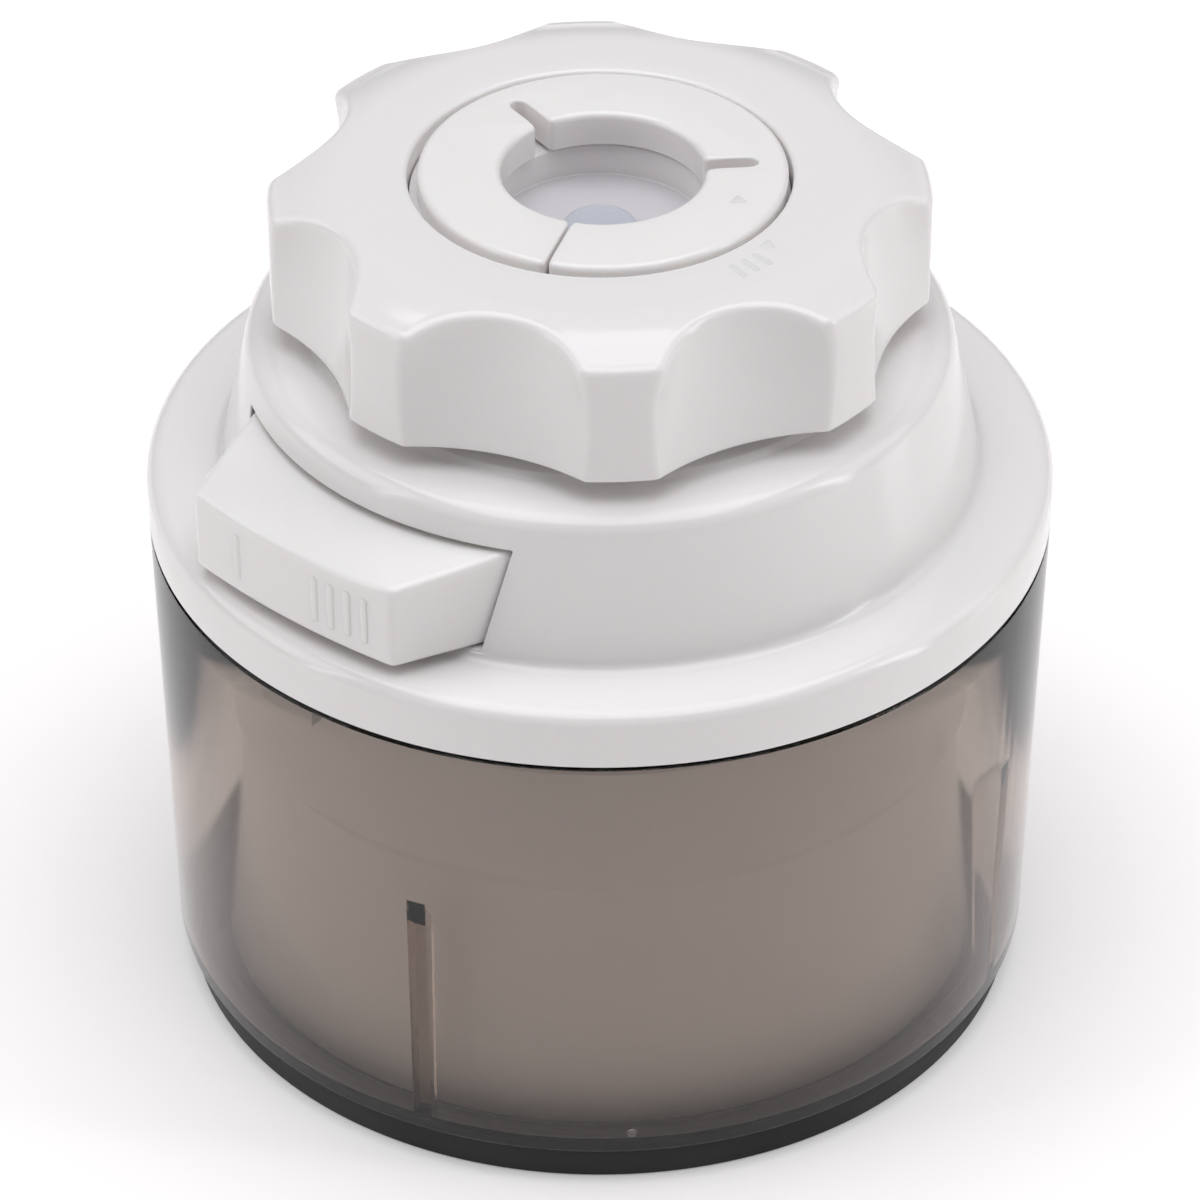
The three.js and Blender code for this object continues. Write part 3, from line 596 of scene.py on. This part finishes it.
def lid_profile():
    """The lid's section as stretches of (radius, height) points, from the rim's underside to its inside."""
    window_low, window_high = BUTTON_BOTTOM - 0.3, BUTTON_TOP + 0.35
    rim = filleted([
        (RIM_INNER_R, RIM_LOW, 0),
        (LID_R, RIM_LOW, 0.5),
        (LID_R, LEDGE, 4.3),
        (LEDGE_R, LEDGE, 0),
    ], closed=False, steps=7)
    foot_radius, above_foot = 2.4, 112
    foot = filleted([
        (LEDGE_R, LEDGE),
        (CONE_FOOT_R, LEDGE, foot_radius),
        (on_cone(above_foot), above_foot),
    ], closed=False, steps=8)[1:-1]
    below_window = [p for p in foot if p[1] < window_low]
    window_outer = [p for p in foot if p[1] >= window_low]
    cone_rows = np.linspace(window_outer[-1][1] + 1.5, window_high, 9)
    window_outer += [(on_cone(z), z) for z in cone_rows]
    plateau_edge = PLATEAU - 0.05
    neck_top = COLLET_JAW - 0.7
    wall_top, neck_inner_r, ceiling_r = 146.5, 22, 56.5
    top = filleted([
        (on_cone(window_high), window_high),
        (on_cone(plateau_edge), plateau_edge, 7.0),
        (SEAT_R + 1, PLATEAU + 0.35, 0.5),
        (SEAT_R, SEAT, 0.5),
        (NECK_R, SEAT, 1),
        (NECK_R, neck_top, 0.3),
        (SOCKET_R, neck_top, 0.4),
        (SOCKET_R, SOCKET_FLOOR, 0.3),
        (SOCKET_BORE_R, SOCKET_FLOOR, 0.4),
        (SOCKET_BORE_R, wall_top, 0.2),
        (neck_inner_r, wall_top, 0),
    ], closed=False, steps=8)[1:]
    under = [(neck_inner_r, CEILING + 2), (neck_inner_r, CEILING), (ceiling_r, CEILING)]
    inner_rows = np.linspace(window_high, window_low, len(window_outer))
    window_inner = [(on_cone(z) - LID_WALL, z) for z in inner_rows]
    ledge_under = LEDGE - 2.6
    down = [(CONE_FOOT_R - LID_WALL, ledge_under), (RIM_INNER_R, ledge_under)]
    return [*rim, *below_window], window_outer, [*top, *under], window_inner, down


def lid():
    """The white lid: rim, ledge, conical hub with the button's window, plateau and neck, as one shell."""
    below, window_outer, above, window_inner, down = lid_profile()
    rows = [np.asarray(p, float) for p in (*below, *window_outer, *above, *window_inner, *down)]
    first_outer = len(below)
    last_outer = first_outer + len(window_outer) - 1
    first_inner = last_outer + 1 + len(above)
    last_inner = first_inner + len(window_inner) - 1

    # a column of points beside the window leans with the window's edge, and less so further away from it
    half_of_row = []
    for j in range(len(rows)):
        nearest = j
        if j < first_outer:
            nearest = first_outer
        elif last_outer < j < first_inner:
            nearest = last_outer
        elif j > last_inner:
            nearest = last_inner
        half_of_row.append(window_half_angle(rows[nearest][0]))
    top_half = half_of_row[last_outer]
    blend_angle = 12.0

    def lean(base):
        """How much of the window edge's lean a column has, from 1 at its end to -1 at its start."""
        from_end = np.clip(1 - (base - top_half) / blend_angle, 0, 1)
        from_start = np.clip(1 - (360 - top_half - base) / blend_angle, 0, 1)
        return from_end - from_start

    in_window = np.linspace(-1, 1, 41)
    elsewhere = top_half + np.linspace(0, 1, 152)[1:-1] * (360 - 2 * top_half)
    columns = [[s * half for half in half_of_row] for s in in_window]
    columns += [[base + (half - top_half) * lean(base) for half in half_of_row] for base in elsewhere]
    verts = []
    for column in columns:
        for angle, (r, z) in zip(column, rows):
            verts.append((*(direction(BUTTON_AZIMUTH + angle) * r), z))

    count, size = len(columns), len(rows)
    opening = range(len(in_window) - 1)
    faces = []
    for i in range(count):
        here, there = i * size, (i + 1) % count * size
        for j in range(size):
            k = (j + 1) % size
            cut = first_outer <= j < last_outer or first_inner <= j < last_inner
            if not (i in opening and cut):
                faces.append((here + j, there + j, there + k, here + k))
    # the window's reveal, between the outer and the inner skin
    for column in (0, len(opening) * size):
        for k in range(len(window_outer) - 1):
            outer, inner = column + first_outer + k, column + last_inner - k
            faces.append((outer, outer + 1, inner - 1, inner))
    for i in opening:
        here, there = i * size, (i + 1) * size
        faces.append((here + last_outer, there + last_outer, there + first_inner, here + first_inner))
        faces.append((here + first_outer, here + last_inner, there + last_inner, there + first_outer))
    shell = piece("lid_piece", verts, faces, "lid", WHITE, ["lid"])
    bevel = shell.modifiers.new("window_edge", "BEVEL")
    bevel.width = 0.45 * MM
    bevel.segments = 3
    bevel.limit_method = "ANGLE"
    bevel.angle_limit = math.radians(55)
    bevel.harden_normals = False


def lid_inside():
    """The lid's gear housing and bearing sleeve, seen when the lid is off."""
    housing_bore_r, housing_r, housing_bottom = 42.6, 45.2, 104.6
    turned("lid_housing", [
        (housing_bore_r, housing_bottom, 0.4),
        (housing_r, housing_bottom, 0.4),
        (housing_r, CEILING + 1),
        (housing_bore_r, CEILING + 1),
    ], "lid", WHITE)
    sleeve_bore_r, sleeve_r = 11.6, 14
    turned("lid_bearing_sleeve", [
        (sleeve_bore_r, CEILING, 0.4),
        (sleeve_r, CEILING, 0.4),
        (sleeve_r, SLEEVE_TOP),
        (sleeve_bore_r, SLEEVE_TOP),
    ], "lid", WHITE, segments=96)


def socket_cup():
    """A cool grey cup at the bottom of the collet's hole, round the coupling. Its grey is painted shade that
    darkens the hole's floor.
    """
    bore_r, cup_r = SOCKET_BORE_R + 0.1, SOCKET_R - 0.3
    bottom, top = SOCKET_FLOOR - 1, SOCKET_FLOOR + 0.15
    turned("socket_shade_cup_piece", [
        (bore_r, bottom, 0),
        (bore_r, top, 0.3),
        (cup_r, top, 0.1),
        (cup_r, bottom, 0),
    ], "lid", SOCKET_SHADE_GREY, segments=96)


def lid_seal():
    inner_r, outer_r = 77.5, LID_R - 1
    turned("lid_seal_piece", [
        (inner_r, SEAL_BOTTOM, 0.1),
        (outer_r, SEAL_BOTTOM, 0.1),
        (outer_r, RIM_LOW, 0.1),
        (inner_r, RIM_LOW, 0.1),
    ], "lid", RUBBER, ["lid_seal"])


# ---- clamp knob ----
def arc(centre, radius, start, end, count):
    """Points along an arc between two angles in radians."""
    angles = np.linspace(start, end, count)
    return [(centre[0] + radius * math.cos(a), centre[1] + radius * math.sin(a)) for a in angles]


def knob_outline(z):
    """The knob's outline in plan at a height: lobes with round corners and finger scoops between them."""
    rise = (z - KNOB_BOTTOM) / (KNOB_TOP - KNOB_BOTTOM)
    scoop_r = SCOOP_FOOT_R + (SCOOP_R - SCOOP_FOOT_R) * rise
    scoop_centre = SCOOP_FOOT_CENTRE + (SCOOP_CENTRE - SCOOP_FOOT_CENTRE) * rise
    corner_r = 1.8 + 1.4 * rise
    reach, span = KNOB_R - corner_r, scoop_r + corner_r
    off = math.acos((reach ** 2 + scoop_centre ** 2 - span ** 2) / (2 * reach * scoop_centre))
    # one lobe and the scoop after it, with the scoop's axis along +X
    corner = reach * np.array([math.cos(off), -math.sin(off)])
    towards_scoop = math.atan2(-corner[1], scoop_centre - corner[0])
    half_lobe = math.pi / LOBES - off
    rounded = arc(corner, corner_r, -off, towards_scoop, 9)
    lobe_face = arc((0, 0), KNOB_R, -off - 2 * half_lobe, -off, 18)[1:-1]
    scoop_ends = (towards_scoop - math.pi, -towards_scoop - math.pi)
    scoop = arc((scoop_centre, 0), scoop_r, *scoop_ends, 40)[1:-1]
    other_corner = [(x, -y) for x, y in reversed(rounded)]
    points = np.array([*lobe_face, *rounded, *scoop, *other_corner])
    around = []
    for lobe in range(LOBES):
        a = math.radians(LOBE_AZIMUTH - 90) + (lobe + 0.5) * 2 * math.pi / LOBES
        turn = np.array([[math.cos(a), math.sin(a)], [-math.sin(a), math.cos(a)]])
        around.append(points @ turn)
    return np.concatenate(around)


def knob_crown(radius):
    """Height of the knob's top at a distance from its axis."""
    drop, bend = 4.2, 1.7
    t = np.clip((radius - KNOB_FLAT_R) / (KNOB_R - KNOB_FLAT_R), 0, 1)
    return KNOB_TOP - drop * t ** bend


def clamp_knob():
    """The lobed knob: a stepped bore, a crowned top, scooped sides that widen upwards, hollow below."""
    top_round, foot_round = 1.9, 0.6
    collar_bottom, bore_floor = 133.8, 149.5
    hollow_r, hollow_top = 43.6, 155
    collar_outer_r, lip_r, lip_z = 37.4, 41, 135
    outline = knob_outline(KNOB_TOP - 3)
    normals = outline_normals(outline)
    foot = knob_outline(KNOB_BOTTOM)
    foot_normals = outline_normals(foot)
    angles = np.arctan2(outline[:, 1], outline[:, 0])
    ray = np.stack([np.cos(angles), np.sin(angles)], axis=1)
    bore = filleted([
        (KNOB_COLLAR_R, collar_bottom),
        (KNOB_COLLAR_R, bore_floor, 0.3),
        (KNOB_BORE_R, bore_floor, 0.3),
        (KNOB_BORE_R, KNOB_TOP, 1.0),
        (KNOB_BORE_R + 4, KNOB_TOP),
    ], closed=False)
    loops = [at_height(ray * r, z) for r, z in bore]
    edge = outline - normals * top_round
    edge_r = np.linalg.norm(edge, axis=1)
    for t in np.linspace(0.15, 1, 10):
        ring = ray * (KNOB_BORE_R + 4) * (1 - t) + edge * t
        loops.append(at_height(ring, knob_crown(np.linalg.norm(ring, axis=1))))
    for a in np.linspace(0, math.pi / 2, 8)[1:]:
        ring = outline - normals * top_round * (1 - math.sin(a))
        loops.append(at_height(ring, knob_crown(edge_r) - top_round * (1 - math.cos(a))))
    for z in np.linspace(KNOB_SHOULDER - 5, KNOB_BOTTOM + foot_round + 1, 7):
        loops.append(at_height(knob_outline(z), z))
    for a in np.linspace(0, math.pi / 2, 5):
        ring = foot - foot_normals * foot_round * (1 - math.cos(a))
        loops.append(at_height(ring, KNOB_BOTTOM + foot_round * (1 - math.sin(a))))
    hollow = filleted([
        (hollow_r, KNOB_BOTTOM),
        (hollow_r, hollow_top, 1),
        (collar_outer_r, hollow_top, 1),
        (collar_outer_r, lip_z, 0.2),
        (lip_r, lip_z, 0.3),
        (lip_r, collar_bottom, 0.3),
    ], closed=False)
    loops += [at_height(ray * r, z) for r, z in hollow]
    verts, faces = stacked(loops, closed=True)
    piece("clamp_knob_piece", verts, faces, "knob", WHITE, ["clamp_knob"], sharp=50)


# ---- split collet ----
def collet_outline():
    """The C-shaped ring in plan, anticlockwise: one full split, two relief slots, corners rounded."""
    full_turn = 2 * math.pi
    split = math.radians(SPLIT_AZIMUTH - 90)
    half_split = 0.3
    relief_half, relief_end = 1.5, 26.8
    gap_outer, gap_inner = half_split / COLLET_R, half_split / COLLET_BORE_R
    slot_half = math.asin(relief_half / COLLET_BORE_R)
    points = arc((0, 0), COLLET_R, split + gap_outer, split + full_turn - gap_outer, 260)
    angle = split + full_turn - gap_inner
    slots = [split + (math.radians(a - 90) - split) % full_turn for a in RELIEF_AZIMUTHS]
    for slot in sorted(slots, reverse=True):
        points += arc((0, 0), COLLET_BORE_R, angle, slot + slot_half, 60)
        along = np.array([math.cos(slot), math.sin(slot)])
        tip = along * (relief_end - relief_half)
        points += arc(tip, relief_half, slot + math.pi / 2, slot - math.pi / 2, 16)
        angle = slot - slot_half
    points += arc((0, 0), COLLET_BORE_R, angle, split + gap_inner, 60)
    return smoothed(resampled(np.array(points), 1100), 1.2)


def collet_rounding(outline, edge):
    """How far the collet's top edge is rounded at each point: more at its rim and bore than in its slots."""
    rim_rounding = 1.25
    radius = np.linalg.norm(outline, axis=1)
    at_rim = np.clip((radius - (COLLET_R - 0.6)) / 0.5, 0, 1)
    at_bore = np.clip((COLLET_BORE_R + 1.2 - radius) / 1.0, 0, 1)
    sharp_change = edge + (rim_rounding - edge) * np.maximum(at_rim, at_bore)
    wide = 24
    kernel = np.hanning(wide + 1)
    kernel /= kernel.sum()
    return sum(w * np.roll(sharp_change, k - wide // 2) for k, w in enumerate(kernel))


def split_collet():
    edge = 0.42
    top = COLLET_TOP - MARK_HEIGHT
    outline = collet_outline()
    normals = outline_normals(outline)
    rounding = collet_rounding(outline, edge)
    offset = np.array([COLLET_OFFSET, 0])
    loops = []
    for a in np.linspace(math.pi / 2, 0, 6):
        ring = outline - normals * (edge * (1 - math.cos(a)))
        loops.append(at_height(ring + offset, COLLET_JAW + edge * (1 - math.sin(a))))
    for a in np.linspace(0, math.pi / 2, 8):
        ring = outline - normals * (rounding * (1 - math.cos(a)))[:, None]
        loops.append(at_height(ring + offset, top - rounding * (1 - math.sin(a))))
    verts, faces = capped(loops)
    piece("split_collet_piece", verts, faces, "collet", COLLET_WHITE,
          ["split_collet"], sharp=50)


def collet_skirt():
    """The part of the collet below its jaws, inside the knob's bore."""
    bore_r, skirt_r, flange_r, inner_top_r = 25.2, 27.6, 32.7, 31
    bottom, flange_foot, flange_low, flange_top, inside_top = 139, 151, 154.2, 157.6, 156
    turned("collet_skirt", [
        (bore_r, bottom, 0.3),
        (skirt_r, bottom, 0.5),
        (skirt_r, flange_foot, 0.8),
        (flange_r, flange_low, 0.5),
        (flange_r, flange_top, 0.3),
        (inner_top_r, flange_top),
        (inner_top_r, inside_top),
        (bore_r, inside_top),
    ], "collet", COLLET_WHITE)


def raised_mark(name, outline, centre, azimuth, base, body):
    """A low raised mark on a level face. In its outline, +Y points away from the knob's axis."""
    soften, sunk = 0.22, 0.02
    outline = resampled(np.array(outline, float), 60)
    normals = outline_normals(outline)
    out, side = outward_and_across(azimuth)
    loops = []
    for a in np.linspace(0, math.pi / 2, 4):
        ring = outline - normals * soften * (1 - math.cos(a))
        plan = out * (centre + ring[:, 1:]) - side * ring[:, :1]
        loops.append(at_height(plan, base - sunk + (MARK_HEIGHT + sunk) * math.sin(a)))
    verts, faces = capped(loops)
    piece(name, verts, faces, body, WHITE_MARK)


def turning_marks():
    """Plain marks that show where the knob and the collet line up."""
    triangle = filleted([(-1.5, -1.2, 0.3), (1.5, -1.2, 0.3), (0, 1.4, 0.3)])
    bar = filleted([(-0.5, -2.2, 0.45), (0.5, -2.2, 0.45), (0.5, 2.2, 0.45), (-0.5, 2.2, 0.45)])
    arrow_r, bar_r, collet_mark_r = 37, 39, 26
    raised_mark("knob_mark_arrow", triangle, arrow_r, 50, KNOB_TOP, "knob")
    for number, azimuth in enumerate((44, 40, 36)):
        raised_mark(f"knob_mark_bar_{number + 1}", bar, bar_r, azimuth, KNOB_TOP, "knob")
    raised_mark("collet_mark", triangle, collet_mark_r, 65.5, COLLET_TOP - MARK_HEIGHT, "collet")


# ---- release button ----
def button_face(y):
    """How far the bowed, slightly turned face stands from the axis at a place across it."""
    t = y / BUTTON_FACE_HALF
    return BUTTON_FACE + BUTTON_BOW * (1 - t * t) - BUTTON_SKEW * t


def button_place(x, y):
    """A plan point from a distance along the button's stroke and a distance across it."""
    out, side = outward_and_across(BUTTON_AZIMUTH)
    return out * x + side * y


def release_button():
    """The ivory block: a wedge in plan with a bowed face and a top that slopes down towards it."""
    across = np.linspace(-BUTTON_FACE_HALF, BUTTON_FACE_HALF, 33)
    face = [(button_face(y), y) for y in across]
    plan = [(BUTTON_BACK, -BUTTON_BACK_HALF), *face, (BUTTON_BACK, BUTTON_BACK_HALF)]
    level_end = BUTTON_BACK + 12
    slope = (BUTTON_OUTER_TOP - BUTTON_TOP) / (BUTTON_FACE + BUTTON_BOW - level_end)
    points = np.array([button_place(x, y) for x, y in plan])
    tops = [BUTTON_TOP + min(0, slope * (x - level_end)) for x, _ in plan]
    verts, faces = capped([at_height(points, BUTTON_BOTTOM), at_height(points, tops)])
    block = piece("release_button_piece", verts, faces, "button", IVORY,
                  ["release_button"], sharp=30)
    bevel = block.modifiers.new("soft_edges", "BEVEL")
    bevel.width = 1.3 * MM
    bevel.segments = 5
    bevel.limit_method = "ANGLE"
    bevel.angle_limit = math.radians(30)


def grip_ribs():
    """Low upright grip ribs on the button's face."""
    half_width, height, proud, sunk = 0.9, 9.5, 0.28, 0.1
    middle = (BUTTON_BOTTOM + BUTTON_OUTER_TOP) / 2
    around = np.linspace(0, 2 * math.pi, 25)[:-1]
    ends = np.where(np.sin(around) > 0, 1, -1) * (height / 2 - half_width)
    for number, y in enumerate((-11.5, 6.5, 10.0, 13.5, 17.0)):
        loops = []
        for a in np.linspace(0, math.pi / 2, 5):
            r = half_width * math.cos(a)
            x = button_face(y) - sunk + proud * math.sin(a)
            plan = [button_place(x, y + r * math.cos(t)) for t in around]
            loops.append(at_height(plan, middle + ends + r * np.sin(around)))
        verts, faces = capped(loops)
        piece(f"grip_rib_{number + 1}", verts, faces, "button", IVORY_MARK)


# ---- drive pieces ----
def drive_coupling():
    """The domed head of the coupling, with a groove under it and the shaft's socket below."""
    low, top = COUPLING_LOW.z, COUPLING_HIGH.z
    head_r, groove_r, socket_r = 6.3, 5.6, 4.3
    socket_top = 148.2
    turned("drive_coupling_piece", [
        (0, top + 0.4),
        (5.2, top + 0.3, 0.5),
        (head_r, top - 0.2, 0.6),
        (head_r, top - 1.4, 0.3),
        (groove_r, top - 1.6, 0.2),
        (groove_r, low, 0.3),
        (socket_r, low, 0.2),
        (socket_r, socket_top, 0.2),
        (0, socket_top),
    ], "input_drive", COUPLING_BLUE, ["drive_coupling"], closed=False, segments=96)


def output_shaft():
    """The round shaft and the hexagon below it that turns the blade hub."""
    low, high = SHAFT_LOW.z, SHAFT_HIGH.z
    shaft_r, hexagon_r = 6, 6.2
    hexagon_top = 75.2
    turned("output_shaft_piece", [
        (0, hexagon_top - 1.7),
        (5.2, hexagon_top - 1.7),
        (shaft_r, hexagon_top + 0.2, 0.3),
        (shaft_r, high, 0.5),
        (0, high),
    ], "carrier", STEEL, ["output_shaft"], closed=False, segments=64)
    corners = arc((0, 0), hexagon_r, 0, 2 * math.pi, 7)[:-1]
    outline = resampled(np.array(filleted([(*p, 0.5) for p in corners])), 120)
    verts, faces = capped([
        at_height(outline * 0.86, low),
        at_height(outline, low + 1),
        at_height(outline, hexagon_top - 1),
        at_height(outline * 0.9, hexagon_top),
    ])
    piece("output_hexagon", verts, faces, "carrier", STEEL)


def knob_retainer():
    low, high = node_box("knob_retainer")
    outer_r, bore_r, step_r, step_z = high.x, 38.6, 41.4, 135.4
    turned("knob_retainer_piece", [
        (step_r, low.z, 0.2),
        (outer_r, low.z, 0.3),
        (outer_r, high.z, 0.5),
        (bore_r, high.z, 0.4),
        (bore_r, step_z, 0.2),
        (step_r, step_z, 0.2),
    ], "lid", WHITE, ["knob_retainer"])


def dress_cad_nodes():
    """Materials for the CAD nodes that stay."""
    finishes = {
        "plug_ring": WHITE,
        "gearbox_cover": WHITE,
        "latch_slide": BRIGHT_WHITE,
        "knob_washer": NYLON,
        "ring_gear": NYLON,
        "blade_hub": NYLON,
        "shaft_seal": RUBBER,
        "carrier_bush": BRONZE,
    }
    for node in ("button_spring", "input_shaft", "sun_gear", "input_bearing", "bearing_clip",
                 "planet_carrier", "lower_blade", "upper_blade"):
        finishes[node] = STEEL
    for number in (1, 2, 3):
        finishes[f"planet_gear_{number}"] = NYLON
        finishes[f"planet_pin_{number}"] = STEEL
    for number in (1, 2, 3, 4):
        finishes[f"cover_screw_{number}"] = STEEL
    for node, material in finishes.items():
        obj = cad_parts[node]
        obj.data.materials.clear()
        obj.data.materials.append(material)


# ---- stage ----
def area_light(name, place, aim, size, power, colour=(1, 1, 1)):
    """A rectangular lamp at a place in metres, turned towards another."""
    lamp = bpy.data.lights.new(name, "AREA")
    lamp.shape = "RECTANGLE"
    lamp.size, lamp.size_y = size
    lamp.energy = power
    lamp.color = colour
    obj = placed(name, lamp)
    obj.location = place
    obj.rotation_mode = "QUATERNION"
    obj.rotation_quaternion = (Vector(aim) - Vector(place)).to_track_quat("-Z", "Y")


def floor():
    """A pale floor that glows a little, so that it stays as light as the photograph's background."""
    mesh = bpy.data.meshes.new("floor")
    half = 6.0
    corners = [(-half, -half, 0), (half, -half, 0), (half, half, 0), (-half, half, 0)]
    mesh.from_pydata(corners, [], [(0, 1, 2, 3)])
    obj = placed("floor", mesh)
    material, _, _, shader = new_material("pale_floor")
    shader.inputs["Base Color"].default_value = (0.97, 0.945, 0.94, 1)
    shader.inputs["Roughness"].default_value = 0.8
    shader.inputs["Specular IOR Level"].default_value = 0.1
    shader.inputs["Emission Color"].default_value = (1, 1, 1, 1)
    shader.inputs["Emission Strength"].default_value = 0.24
    mesh.materials.append(material)


def studio():
    world = bpy.data.worlds.new("studio")
    bpy.context.scene.world = world
    world.use_nodes = True
    background = world.node_tree.nodes["Background"]
    background.inputs["Color"].default_value = (1.0, 1.0, 1.0, 1)
    background.inputs["Strength"].default_value = 0.05
    cool_white = (0.97, 0.972, 1.0)
    area_light("top_softbox", (0, -0.1, 1.7), (0, 0, 0), (1.7, 1.7), 24.0, cool_white)
    area_light("left_softbox", (-1.3, 0.05, 1.0), (0, 0, 0.1), (1.0, 1.0), 4.8)
    area_light("right_softbox", (1.3, 0.05, 1.0), (0, 0, 0.1), (1.0, 1.0), 3.8)
    area_light("right_strip", (0.95, -0.25, 0.45), (0, 0, 0.13), (0.1, 0.8), 1.2)
    area_light("low_card", (0.38, 0.02, 0.06), (0, 0, 0.115), (0.08, 0.3), 0.06)
    area_light("left_strip", (-0.9, -0.4, 0.45), (0, 0, 0.13), (0.08, 0.8), 0.7)
    bpy.context.scene.view_settings.view_transform = "Standard"
    bpy.context.scene.view_settings.look = "None"


def camera():
    """The photograph's view: from the front, looking down, with a long lens."""
    elevation = math.radians(36.1)
    distance = 1.0353
    aim_height = 0.07047
    data = bpy.data.cameras.new("camera")
    data.sensor_width = 36
    data.lens = 172.5
    obj = placed("camera", data)
    obj.location = (0, -distance * math.cos(elevation), aim_height + distance * math.sin(elevation))
    obj.rotation_euler = (math.pi / 2 - elevation, 0, 0)
    bpy.context.scene.camera = obj


camera()
base_ring()
outer_bowl()
gate_mark()
spindle_pin()
inner_bowl()
lid()
lid_inside()
socket_cup()
lid_seal()
clamp_knob()
split_collet()
collet_skirt()
turning_marks()
release_button()
grip_ribs()
drive_coupling()
output_shaft()
knob_retainer()
dress_cad_nodes()
floor()
studio()
